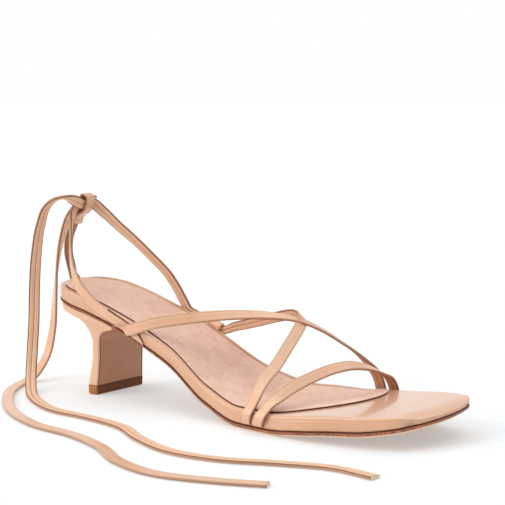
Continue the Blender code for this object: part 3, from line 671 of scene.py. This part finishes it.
def heelHeight(plan, t, backZ, frontZ, back, front):
    share = (plan[..., 0] - back) / (front - back)
    flat = backZ + (frontZ - backZ) * share
    seat = seamZ(plan[..., 0]) - sole["outsoleThick"] * skiveLine(plan[..., 0]) - sole["gap"]
    return flat if t >= 1 else t * flat + (1 - t) * seat


def liftLevels():
    back, front, half, bulge = heel["sections"][-1][2:]
    for z, inset in heel["liftSide"]:
        yield heelEdges(back + inset, front - inset, half - inset, bulge, heel["liftCorner"]), z


def breastSlots(levels, bands, shadeEdgeSlot):
    # 1 on the faces of the breast, shadeEdgeSlot where the cover is turned in at both its edges; both take
    # darker finishes painted as shade
    edges = levels[0][0]
    size = len(ringOf(edges))
    columns = range(len(edges[0]) - 1, len(edges[0]) + len(edges[1]) - 2)
    found = {k: 1 for k in columns} | {columns[0]: shadeEdgeSlot, columns[-1]: shadeEdgeSlot}
    return [found.get(k % size, 0) if band >= 0 else 0 for k, band in enumerate(bands)]


levels = list(heelLevels())
points, faces, bands = stackLevels(levels, heelHeight)
slots = breastSlots(levels, bands, 2)
heelPiece = makePiece("coveredHeel", points, faces, [heelCalf, breastShadeCalf, breastEdgeShade], slots)
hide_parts("heel")

levels = list(liftLevels())
points, faces, bands = stackLevels(levels, lambda plan, z: z)
slots = breastSlots(levels, bands, 1)
liftPiece = makePiece("rubberLift", points, faces, [liftRubber, liftFrontShade], slots)
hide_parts("top_lift")
print("heel and lift ready")

# folded strips: each row is x, y, z, then the way the outer face looks (turn from the toe, tilt up)
# and the width where it isn't the usual one
strap = {
    "wide": 6.0, "thick": 1.5, "step": 1.3,
    # root under the footbed: reach inward, clearances, turn up the wall, fold over the rim and its tilt
    "tuck": 5.0, "seamClear": 0.15, "wallClear": 0.1, "turnIn": 1.2, "turnSide": 0.45, "turnRise": (0.4, 1.5),
    "rootHigh": 6.6, "foldHigh": 8.3, "foldTilt": 0.35,
    # section: across from -1 to 1, depth from -1 (inner face) to 1 (outer face), then the faces of its sides
    "section": [
        (-0.84, 0.99), (-0.72, 0.86), (-0.45, 0.95), (0.0, 1.0), (0.45, 0.95), (0.72, 0.86), (0.84, 0.99),
        (0.94, 0.78), (0.99, 0.4), (1.0, 0.0), (0.99, -0.4), (0.93, -0.8), (0.80, -0.96), (0.4, -1.0),
        (0.07, -0.94), (0.0, -0.55), (-0.07, -0.94), (-0.4, -1.0), (-0.80, -0.96), (-0.93, -0.8),
        (-0.99, -0.4), (-1.0, 0.0), (-0.99, 0.4), (-0.94, 0.78),
    ],
    "backFaces": range(12, 18), "edgeFaces": (10, 11, 18, 19),
}


def looking(turn, tilt):
    turn, tilt = math.radians(turn), math.radians(tilt)
    return np.array([math.cos(turn) * math.cos(tilt), math.sin(turn) * math.cos(tilt), math.sin(tilt)])


def knots(rows):
    return [(np.array(row[:3], float), looking(*row[3:5])) + tuple(row[5:]) for row in rows]


def rimFrame(run):
    # a place on the seam at the sole's edge, with the ways out and up from it
    plan = soleEdge.at(run)
    away = soleEdge.away(run)
    out = np.array([away[0], away[1], 0.0])
    along = np.array([away[1], -away[0], 0.0])
    along[2] = along[0] * float(topLine(plan[0] + 0.5) - topLine(plan[0] - 0.5))
    along /= np.linalg.norm(along)
    up = np.cross(out, along)
    up = up if up[2] > 0 else -up
    return np.array([plan[0], plan[1], float(seamZ(plan[0]))]), out, up


def tuckRows(run, reach=0.0, high=strap["rootHigh"], slant=0.0, lean=0.0, thick=strap["thick"], lift=0.0):
    # the end of a strip, from under the footbed out and up its wall
    low = sole["gap"] + thick / 2 + strap["seamClear"] + lift
    side = thick / 2 + sole["gap"] + strap["wallClear"] + reach
    turnLow, turnHigh = strap["turnRise"]
    # out, up, then how much the face looks out and up
    steps = [(-strap["tuck"], low, 0, -1), (reach - strap["turnIn"], low, 0, -1),
             (side - strap["turnSide"], low + turnLow, 1, -1),
             (side, low + turnHigh, 1, 0), (side, high, 1, 0)]
    if lean:
        steps.append((0.0, strap["foldHigh"], 1, strap["foldTilt"]))
    rows = []
    for away, rise, faceOut, faceUp in steps:
        foot, out, up = rimFrame(run + slant * (away - side + rise - low) + lean * (rise - low))
        look = faceOut * out + faceUp * up
        row = (foot + away * out + rise * up, look / np.linalg.norm(look), strap["wide"], thick)
        rows.append(row + (np.cross(up, out),) if lean else row)
    return rows


def edgeKnots(side, rows):
    # a strip that lies along the wall
    found = []
    for x, high, wide, *skived in rows:
        thick = skived[0] if skived else strap["thick"]
        away = thick / 2 + sole["gap"] + strap["wallClear"]
        foot, out, up = rimFrame(soleEdge.runAt(side, x))
        found.append((foot + away * out + high * up, out, wide, thick))
    return found


def flow(rows, step):
    # a smooth line through the rows, the way it looks and how far along the rows it is
    places = np.array([r[0] for r in rows])
    looks = np.array([r[1] for r in rows])
    gaps = np.linalg.norm(np.diff(places, axis=0), axis=1)

    def slopes(values):
        rise = np.diff(values, axis=0) / gaps[:, None]
        inner = (rise[:-1] * gaps[1:, None] + rise[1:] * gaps[:-1, None]) / (gaps[1:] + gaps[:-1])[:, None]
        return np.concatenate([rise[:1], inner, rise[-1:]])

    drift, swing = slopes(places), slopes(looks)
    line, face, share = [], [], []
    for k, gap in enumerate(gaps):
        count = max(1, int(round(gap / step)))
        for t in np.arange(count + (k == len(gaps) - 1)) / count:
            start, leaving, end, arriving = hermite(t, gap)
            for found, value, slope in ((line, places, drift), (face, looks, swing)):
                before = start * value[k] + leaving * slope[k]
                found.append(before + end * value[k + 1] + arriving * slope[k + 1])
            share.append(k + t)
    return np.array(line), np.array(face), np.array(share)


def foldedStrip(rows, wide=strap["wide"], step=strap["step"]):
    line, look, share = flow(rows, step)
    usual = (None, None, wide, strap["thick"], np.zeros(3))
    whole = [tuple(row) + usual[len(row):] for row in rows]

    def eased(values):
        return np.interp(share, np.arange(len(rows)), values)

    widths, depths = eased([row[2] for row in whole]), eased([row[3] for row in whole])
    line[:, 2] = np.maximum(line[:, 2], strap["thick"] / 2 + sole["gap"])
    way = np.gradient(line, axis=0)
    way /= np.linalg.norm(way, axis=1)[:, None]
    look = look - (look * way).sum(axis=1)[:, None] * way
    look /= np.linalg.norm(look, axis=1)[:, None]
    square = np.cross(way, look)
    # a leaning root folds over the rim along the rim's own line, so its sections are skewed there
    skew = np.stack([eased(column) for column in zip(*(row[4] for row in whole))], axis=1)
    skew *= np.sign((skew * square).sum(axis=1))[:, None]
    across = skew + (1 - np.linalg.norm(skew, axis=1))[:, None] * square
    across /= (across * square).sum(axis=1)[:, None]
    run = np.r_[0, np.cumsum(np.linalg.norm(np.diff(line, axis=0), axis=1))]
    size = len(strap["section"])
    points, uv = [], []
    for k in range(len(line)):
        for aside, deep in strap["section"]:
            points.append(line[k] + aside * widths[k] / 2 * across[k] + deep * depths[k] / 2 * look[k])
            uv.append(((aside + 1) / 2, run[k] / 10))  # one unit of the strip's map is a centimetre long
    faces = [tuple(range(size)), tuple(range(len(points) - 1, len(points) - 1 - size, -1))]
    slots = [2, 2]
    for k in range(len(line) - 1):
        for j in range(size):
            after, low, high = (j + 1) % size, k * size, (k + 1) * size
            faces.append((low + j, high + j, high + after, low + after))
            slots.append(1 if j in strap["backFaces"] else 3 if j in strap["edgeFaces"] else 0)
    return {"points": points, "faces": faces, "slots": slots, "uv": uv,
            "line": line, "look": look, "across": across}


def joinStrips(name, strips, materials):
    points, faces, slots, uv = [], [], [], []
    for strip in strips:
        start = len(points)
        points += strip["points"]
        faces += [tuple(k + start for k in face) for face in strip["faces"]]
        slots += strip["slots"]
        uv += strip["uv"]
    return makePiece(name, points, faces, materials, slots, uv)


# finishes of a strip: outer face, inner face, cut ends, turned edges in painted shade
stripFinishes = [stripFace, stripBackShaded, creamCut, stripEdgeShade]
tieFinishes = [stripFace, tieBack, creamCut, stripEdgeShade]

instepStraps = {
    "outerWaist": 60.0, "innerBall": 174.4, "outerBall": 148.8, "ballLean": 0.28,
    # the slanted, thinned end at the outer waist
    "wrap": {"reach": 0.6, "high": 3.9, "slant": 1.9, "thick": 0.9, "lift": 0.6},
    "laceEnd": [(83.0, 7.4, 4.0), (79.4, 6.8, 3.6)],
    "waistToBall": [
        (69.8, -26.3, 40.0, -78, 4), (78.0, -24.6, 42.8, -65, 12), (88.0, -18.6, 44.9, -55, 24),
        (100.0, -8.6, 46.6, -45, 36), (113.0, 2.4, 47.5, -30, 48), (126.0, 13.0, 47.0, -8, 58),
        (137.2, 21.8, 44.8, 16, 58), (145.6, 28.4, 40.2, 34, 50), (155.4, 34.0, 33.4, 41, 41),
        (161.4, 37.2, 28.8, 45, 32), (166.6, 39.8, 23.6, 61, 20), (170.6, 41.6, 18.6, 82, 8),
    ],
    "ballToWaist": [
        (149.6, -24.5, 21.9, -62, 32), (147.2, -11.0, 27.4, -45, 42),
        (144.4, 2.0, 34.0, -36, 44), (141.8, 12.6, 39.2, -28, 46), (139.6, 19.6, 42.4, -8, 54),
        (137.8, 24.2, 45.2, 40, 50), (132.4, 27.2, 46.4, 80, 34), (119.0, 27.4, 44.0, 90, 28),
        (108.8, 26.9, 41.1, 90, 26), (100.6, 26.4, 38.7, 90, 24, 5.6), (92.6, 25.9, 36.5, 90, 16, 5.0),
    ],
}
outerRoot = tuckRows(soleEdge.runAt(-1, instepStraps["outerWaist"]), **instepStraps["wrap"])
innerRoot = tuckRows(soleEdge.runAt(1, instepStraps["innerBall"]))
waistStrip = foldedStrip(outerRoot + knots(instepStraps["waistToBall"]) + innerRoot[::-1])
ballRoot = tuckRows(soleEdge.runAt(-1, instepStraps["outerBall"]), lean=instepStraps["ballLean"])
ballStrip = foldedStrip(ballRoot + knots(instepStraps["ballToWaist"]) + edgeKnots(1, instepStraps["laceEnd"]))
# the end that runs on as a lace is paler inside, like the ties, without the painted shade of the other strap
# inner faces
ballStrip["slots"] = [len(stripFinishes) if slot == 1 else slot for slot in ballStrip["slots"]]
crossPiece = joinStrips("crossedStraps", [waistStrip, ballStrip], stripFinishes + [tieBack])
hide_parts("upper_straps")

toeStrap = {
    "outer": 156.4, "inner": 181.6, "lean": 0.45, "reach": 0.2,
    "rows": [
        (161.4, -27.0, 16.8, -62, 28), (162.8, -17.6, 20.2, -42, 40),
        (166.4, -6.2, 23.8, -20, 48), (170.0, 5.4, 26.2, 0, 52), (173.2, 15.6, 26.6, 20, 50),
        (176.0, 25.0, 24.7, 45, 44), (178.4, 33.4, 21.2, 65, 32), (180.2, 39.8, 17.0, 82, 14),
    ],
}
outerRoot = tuckRows(soleEdge.runAt(-1, toeStrap["outer"]), toeStrap["reach"], lean=toeStrap["lean"])
innerRoot = tuckRows(soleEdge.runAt(1, toeStrap["inner"]))
toeStrip = foldedStrip(outerRoot + knots(toeStrap["rows"]) + innerRoot[::-1])
toePiece = joinStrips("ballStrap", [toeStrip], stripFinishes)
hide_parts("toe_strap")
print("straps ready")

backStrap = {
    "root": 4.0, "foot": (7.0, 1.5, 100.4), "lean": 24.0,
    "rows": [
        (-1.2, 4.0, 56.4, 180, 0), (-3.6, 3.4, 63.5, 180, 0), (-4.9, 2.6, 71.0, 180, 0),
        (-3.8, 2.0, 79.0, 180, 10), (0.6, 1.6, 87.5, 180, 20), (4.4, 1.5, 95.0, 180, 24),
    ],
    # keeper at its head: along the strap, forward of it, turn of the face
    "keeper": [
        (2.4, 0.0, 0), (4.0, 0.7, 40), (4.8, 2.8, 90), (4.0, 4.9, 140), (2.2, 5.6, 180), (-2.2, 5.6, 180),
        (-4.4, 4.9, 220), (-6.2, 3.2, 235), (-8.4, 2.0, 200), (-13.0, 1.9, 180),
    ],
    "stitched": [(-8.9, 1.95), (-12.4, 1.9)],
}
keeperLean = math.radians(backStrap["lean"])
keeperUp = np.array([math.sin(keeperLean), 0.0, math.cos(keeperLean)])
keeperOn = np.array([math.cos(keeperLean), 0.0, -math.sin(keeperLean)])


def keeperPlace(along, forward):
    return np.array(backStrap["foot"]) + along * keeperUp + forward * keeperOn


def keeperRows():
    rows = []
    for along, forward, turn in backStrap["keeper"]:
        turn = math.radians(turn)
        look = -math.cos(turn) * keeperOn + math.sin(turn) * keeperUp
        rows.append((keeperPlace(along, forward), look))
    return rows


def seatRows(forward, ys):
    # where a tie passes through the keeper
    rows = []
    for y in ys:
        place = keeperPlace(0.0, forward)
        place[1] = y
        rows.append((place, -keeperOn))
    return rows


backRoot = tuckRows(soleEdge.run[-1] - backStrap["root"])
backStrip = foldedStrip(backRoot + knots(backStrap["rows"]) + keeperRows())
backPiece = joinStrips("heelStrap", [backStrip], [stripFace, backNap, creamCut, stripEdgeShade])
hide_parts("back_strap")

waistTab = {
    "x": 79.0, "wide": 8.0, "stitchFore": (3.3, 1.9), "stitchRise": (6.9, 10.0),
    # along the wall, out from it, turn of the face
    "fold": [(7.9, 3.05, 0), (9.7, 2.6, 45), (10.4, 1.15, 90), (9.7, -0.3, 135), (8.9, -0.75, 180),
             (7.0, -0.75, 180)],
}
tabRun = soleEdge.runAt(1, waistTab["x"])
tabFoot, tabOut, tabUp = rimFrame(tabRun)
tabRows = tuckRows(tabRun, strap["thick"] + sole["gap"] + strap["wallClear"])  # over the lace
for along, forward, turn in waistTab["fold"]:
    turn = math.radians(turn)
    look = math.cos(turn) * tabOut + math.sin(turn) * tabUp
    tabRows.append((tabFoot + forward * tabOut + along * tabUp, look))
tabStrip = foldedStrip(tabRows, waistTab["wide"])
tabPiece = joinStrips("waistTab", [tabStrip], [heelCalf, stripBackShaded, creamCut, creamCut])
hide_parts("waist_tab")

ties = {
    # in the keeper: forward of its strap, then y
    "outerSeat": (1.85, (0.3, 1.3, 1.7, 5.6)), "innerSeat": (3.7, (5.6, 1.7, 1.3, -2.6)),
    # painted shade on the edges of the outer tie in the gap at its foot: x from, x to, faces of the section
    "paintedShadeEdges": [(50.0, 75.0, range(6, 12)), (51.0, 62.0, range(20, 24))],
    # along the sole's edge: x, height over the seam, width, thickness where it is thinned
    # the outer tie dives into the seam under the strap
    "outerEdge": [(74.0, 0.7, 0.6, 0.5), (71.0, 1.7, 2.6, 0.5), (67.5, 2.5, 4.2, 0.5), (63.5, 3.6, 5.2, 0.6),
                  (58.5, 4.2, 5.4, 0.9), (52.0, 4.5, 6.0, 1.3), (45.5, 5.3, 6.0), (38.5, 6.5, 6.0),
                  (33.5, 8.4, 6.0)],
    "outer": [
        (28.4, -24.2, 58.4, -103, 8), (23.2, -21.6, 63.2, -117, 4), (18.6, -18.8, 69.0, -127, 0),
        (15.4, -16.2, 75.0, -131, 0), (12.6, -13.4, 80.8, -136, 0), (9.4, -9.8, 86.6, -146, 6),
        (7.0, -6.4, 91.8, -163, 16), (7.1, -5.0, 95.4, -176, 23), (8.1, -2.8, 98.3, -180, 24),
    ],
    "innerEdge": [(78.6, 6.7, 3.6), (74.0, 6.5, 4.6), (67.5, 6.5, 5.8)],
    "inner": [
        (63.2, 24.2, 42.6, 92, 10), (59.6, 23.4, 48.3, 94, 20), (56.6, 22.0, 54.4, 94, 24),
        (52.6, 19.8, 61.4, 94, 25), (43.2, 16.4, 71.2, 94, 25), (33.6, 13.6, 79.8, 98, 25),
        (24.6, 11.2, 86.8, 108, 22), (15.7, 9.0, 94.1, 130, 20),
    ],
}
# the first two rows of a seat end the tie, the others start its loose end
outerSeat, innerSeat = seatRows(*ties["outerSeat"]), seatRows(*ties["innerSeat"])
outerStrip = foldedStrip(edgeKnots(-1, ties["outerEdge"]) + knots(ties["outer"]) + outerSeat[:2])
# those edge faces take the dark finish as painted shade
for low, high, columns in ties["paintedShadeEdges"]:
    for k, place in enumerate(outerStrip["line"][:-1]):
        if low < place[0] < high:
            for j in columns:
                outerStrip["slots"][2 + k * len(strap["section"]) + j] = len(tieFinishes)
outerPiece = joinStrips("outerTie", [outerStrip], tieFinishes + [darkCutAndShade])
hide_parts("lateral_tie")
innerStrip = foldedStrip(edgeKnots(1, ties["innerEdge"]) + knots(ties["inner"]) + innerSeat[:2])
innerPiece = joinStrips("innerTie", [innerStrip], tieFinishes)
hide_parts("medial_tie")
print("ties ready")

# loose ends of the ties, down behind the heel and out along the floor on the outer side
tieEnds = {
    "step": 1.8,
    "outer": [
        (6.1, 10.2, 100.6, 164, 36), (0.4, 13.2, 100.6, 160, 54), (-6.4, 12.8, 97.4, 172, 36),
        (-11.8, 10.4, 90.0, 184, 16), (-15.0, 7.8, 78.0, 200, 2), (-16.8, 5.6, 62.0, 220, 0),
        (-17.2, 3.8, 44.0, 242, 0), (-17.2, 1.6, 27.0, 256, 2), (-17.8, -3.0, 12.6, 264, 24),
        (-18.0, -11.6, 3.6, 268, 64), (-15.6, -23.6, 1.0, 284, 90), (-7.0, -39.4, 1.0, 302, 90),
        (10.0, -58.0, 1.0, 314, 90), (36.0, -78.0, 1.0, 328, 90), (64.0, -90.0, 1.0, 346, 90),
        (92.0, -94.0, 1.0, 350, 90), (118.0, -103.0, 1.0, 336, 90), (142.0, -117.0, 1.0, 338, 90),
        (168.0, -123.0, 1.0, 358, 90), (194.0, -117.0, 1.0, 374, 90), (216.0, -108.0, 1.0, 382, 90),
    ],
    "inner": [
        (11.0, -5.4, 99.8, 180, 26), (11.5, -8.8, 101.2, 184, 36), (9.4, -12.6, 102.8, 190, 56),
        (5.0, -15.8, 102.2, 188, 64), (-0.2, -17.8, 98.0, 182, 42), (-4.2, -18.8, 88.4, 172, 14),
        (-7.4, -19.4, 72.0, 158, 0), (-8.6, -20.0, 54.0, 146, 0), (-8.8, -20.6, 36.0, 137, 0),
        (-8.0, -23.0, 19.0, 131, -8), (-4.4, -27.6, 7.6, 129, -40), (3.4, -35.2, 2.2, 130, -78),
        (20.0, -48.6, 1.0, 140, -90), (46.0, -61.0, 1.0, 160, -90), (72.0, -63.0, 1.0, 172, -90),
        (98.0, -68.0, 1.0, 158, -90), (122.0, -81.0, 1.0, 154, -90), (148.0, -90.0, 1.0, 170, -90),
        (174.0, -88.0, 1.0, 190, -90), (198.0, -78.0, 1.0, 202, -90), (222.0, -70.0, 1.0, 192, -90),
        (244.0, -72.0, 1.0, 176, -90),
    ],
}
endPieces = []
for name, key, seat, node in (("outerTieEnd", "outer", outerSeat[2:], "lateral_tail"),
                              ("innerTieEnd", "inner", innerSeat[2:], "medial_tail")):
    strip = foldedStrip(seat + knots(tieEnds[key]), step=tieEnds["step"])
    piece = joinStrips(name, [strip], tieFinishes)
    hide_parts(node)
    path = (strip["line"] + home) * mm
    length = float(np.linalg.norm(np.diff(path, axis=0), axis=1).sum())
    endPieces.append((piece, path, length))
    print(name, "length", round(length, 4))

# stitches along short lines on the tab and the keeper's folded end
stitch = {"sizes": {"Spacing": 1.3, "Stitch Length": 0.95, "Thread Radius": 0.3}, "inset": 0.6, "lift": 0.05}


def stitchTree():
    tree = bpy.data.node_groups.new("stitchRow", "GeometryNodeTree")
    sockets = tree.interface
    sockets.new_socket("Geometry", in_out="INPUT", socket_type="NodeSocketGeometry")
    for name, size in stitch["sizes"].items():
        sockets.new_socket(name, in_out="INPUT", socket_type="NodeSocketFloat").default_value = size * mm
    sockets.new_socket("Material", in_out="INPUT", socket_type="NodeSocketMaterial")
    sockets.new_socket("Geometry", in_out="OUTPUT", socket_type="NodeSocketGeometry")

    def add(kind, **settings):
        node = tree.nodes.new(kind)
        for key, value in settings.items():
            setattr(node, key, value)
        return node

    enter, leave = add("NodeGroupInput"), add("NodeGroupOutput")
    curve = add("GeometryNodeMeshToCurve")
    dots = add("GeometryNodeCurveToPoints", mode="LENGTH")
    bead = add("GeometryNodeMeshIcoSphere")
    bead.inputs["Radius"].default_value = 1.0
    bead.inputs["Subdivisions"].default_value = 2
    size = add("ShaderNodeCombineXYZ")
    half = add("ShaderNodeMath", operation="MULTIPLY")
    half.inputs[1].default_value = 0.5
    place = add("GeometryNodeInstanceOnPoints")
    real = add("GeometryNodeRealizeInstances")
    colour = add("GeometryNodeSetMaterial")
    for source, out, target, into in (
        (enter, "Geometry", curve, "Mesh"), (curve, "Curve", dots, "Curve"),
        (enter, "Spacing", dots, "Length"), (dots, "Points", place, "Points"),
        (dots, "Rotation", place, "Rotation"), (bead, "Mesh", place, "Instance"),
        (enter, "Thread Radius", size, "X"), (enter, "Thread Radius", size, "Y"),
        (enter, "Stitch Length", half, 0), (half, 0, size, "Z"), (size, 0, place, "Scale"),
        (place, "Instances", real, "Geometry"), (real, "Geometry", colour, "Geometry"),
        (enter, "Material", colour, "Material"), (colour, "Geometry", leave, "Geometry"),
    ):
        tree.links.new(source.outputs[out], target.inputs[into])
    return tree


def stitchRows(name, lines):
    points, edges = [], []
    for line in lines:
        start = len(points)
        points += [tuple((np.asarray(p) + home) * mm) for p in line]
        edges += [(start + k, start + k + 1) for k in range(len(line) - 1)]
    guide = bpy.data.meshes.new(name + "Guide")
    guide.from_pydata(points, edges, [])
    holder = addObject(name + "Guide", guide)
    modifier = holder.modifiers.new("stitches", "NODES")
    modifier.node_group = stitchTree()
    items = modifier.node_group.interface.items_tree
    ids = {item.name: item.identifier for item in items if item.in_out == "INPUT"}
    for key, size in stitch["sizes"].items():
        modifier[ids[key]] = size * mm
    modifier[ids["Material"]] = thread
    shown = holder.evaluated_get(bpy.context.evaluated_depsgraph_get())
    mesh = bpy.data.meshes.new_from_object(shown)
    mesh.name = name
    bpy.data.objects.remove(holder, do_unlink=True)
    mesh.polygons.foreach_set("use_smooth", [True] * len(mesh.polygons))
    return addObject(name, mesh)


def acrossLine(strip, place):
    # short line across the outer face of a strip, near a given place on it
    k = int(np.argmin(np.linalg.norm(strip["line"] - place, axis=1)))
    centre = strip["line"][k] + strip["look"][k] * (strap["thick"] / 2 + stitch["lift"])
    reach = strap["wide"] / 2 - stitch["inset"]
    return [centre + strip["across"][k] * (t * reach) for t in np.linspace(-1, 1, 5)]


lines = [acrossLine(backStrip, keeperPlace(*place)) for place in backStrap["stitched"]]
tabFore = np.cross(tabOut, tabUp)
tabFore *= np.sign(tabFore[0])
for fore in waistTab["stitchFore"]:
    foot = tabFoot - (strap["thick"] + stitch["lift"]) * tabOut + fore * tabFore
    lines.append([foot + rise * tabUp for rise in np.linspace(*waistTab["stitchRise"], 4)])
stitchPiece = stitchRows("tabStitches", lines)
print("stitches", len(stitchPiece.data.polygons))

leatherPieces = [bedPiece, heelPiece, crossPiece, toePiece, backPiece, tabPiece, outerPiece, innerPiece,
                 stitchPiece]
for piece in leatherPieces + [outsolePiece, sockPiece, liftPiece]:
    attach(piece, "root")
for piece, path, length in endPieces:
    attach(piece, "root")
    tuple(path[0])
    [tuple(p) for p in path]
for piece in leatherPieces + [row[0] for row in endPieces]:
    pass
print("pieces ride on the shoe")

studio = {
    "floorHalf": 40.0, "floorTone": (206, 207, 208), "floorGlow": 0.34, "glowColour": (0.98, 1.0, 1.0, 1.0),
    "sky": 0.55, "skyTilt": 0.1, "skyColour": (0.95, 0.98, 1.0, 1.0),
    # name, direction, strength, spread in degrees
    "lights": [("topLight", (0.05, -0.12, -1.0), 1.15, 75), ("frontLight", (0.52, 0.7, -0.46), 1.36, 45)],
}
floorMesh = bpy.data.meshes.new("paleFloor")
floorSides = [(-1, -1, 0), (1, -1, 0), (1, 1, 0), (-1, 1, 0)]
floorMesh.from_pydata([Vector(side) * studio["floorHalf"] for side in floorSides], [], [(0, 1, 2, 3)])
floorFinish = Finish("paleFloor", **{"Base Color": tone(*studio["floorTone"]), "Roughness": 0.8,
                                      "Specular IOR Level": 0.1, "Emission Color": studio["glowColour"],
                                      "Emission Strength": studio["floorGlow"]})
floorMesh.materials.append(floorFinish.material)
floor = addObject("paleFloor", floorMesh)


def paleRoom():
    # white backdrop for the eye and for reflections, a dimmer room for the light, brighter behind the heel
    world = bpy.data.worlds.new("paleRoom")
    world.use_nodes = True
    tree = world.node_tree
    room, end = tree.nodes["Background"], tree.nodes["World Output"]
    room.inputs["Color"].default_value = studio["skyColour"]
    where, ahead, dim, backdrop, seen, bright, blend = (tree.nodes.new("ShaderNode" + kind) for kind in (
        "TexCoord", "SeparateXYZ", "Math", "Background", "LightPath", "Math", "MixShader"))
    dim.operation, bright.operation = "MULTIPLY_ADD", "MAXIMUM"
    dim.inputs[1].default_value = -studio["sky"] * studio["skyTilt"]
    dim.inputs[2].default_value = studio["sky"]
    backdrop.inputs["Color"].default_value = white
    for source, out, target, into in (
        (where, "Generated", ahead, 0), (ahead, "X", dim, 0), (dim, 0, room, "Strength"),
        (seen, "Is Camera Ray", bright, 0), (seen, "Is Glossy Ray", bright, 1),
        (bright, 0, blend, 0), (room, 0, blend, 1), (backdrop, 0, blend, 2), (blend, 0, end, "Surface"),
    ):
        tree.links.new(source.outputs[out], target.inputs[into])
    bpy.context.scene.world = world


def softSun(name, direction, strength, spread):
    light = bpy.data.lights.new(name, "SUN")
    light.energy, light.angle = strength, math.radians(spread)
    addObject(name, light).rotation_euler = Vector(direction).to_track_quat("-Z", "Y").to_euler()


paleRoom()
for lamp in studio["lights"]:
    softSun(*lamp)

# the photo's viewing angle, with the picture taken as 505 by 505
view = {"azimuth": 37.64, "elevation": 6.26, "focal": 1476.0, "middle": (233.9, 350.5), "scale": 1.991,
        "target": (112.8, 0.0, 29.7), "picture": 505, "sensor": 36.0, "clip": (0.01, 20.0)}


def photoCamera():
    turn, tilt = math.radians(view["azimuth"]), math.radians(view["elevation"])
    back = Vector((math.sin(turn) * math.cos(tilt), -math.cos(turn) * math.cos(tilt), math.sin(tilt)))
    right = Vector((math.cos(turn), math.sin(turn), 0.0))
    up = back.cross(right)
    aside, below = ((place - view["picture"] / 2) / view["scale"] for place in view["middle"])
    eye = Vector(np.array(view["target"]) + home) + back * (view["focal"] / view["scale"])
    eye += up * below - right * aside
    data = bpy.data.cameras.new("photoCamera")
    data.sensor_width = view["sensor"]
    data.lens = view["sensor"] * view["focal"] / view["picture"]
    data.clip_start, data.clip_end = view["clip"]
    camera = addObject("photoCamera", data)
    camera.matrix_world = Matrix.Translation(eye * mm) @ Matrix((right, up, back)).transposed().to_4x4()
    bpy.context.scene.camera = camera


photoCamera()
bpy.context.scene.view_settings.view_transform = "Standard"
print("stage and camera ready")
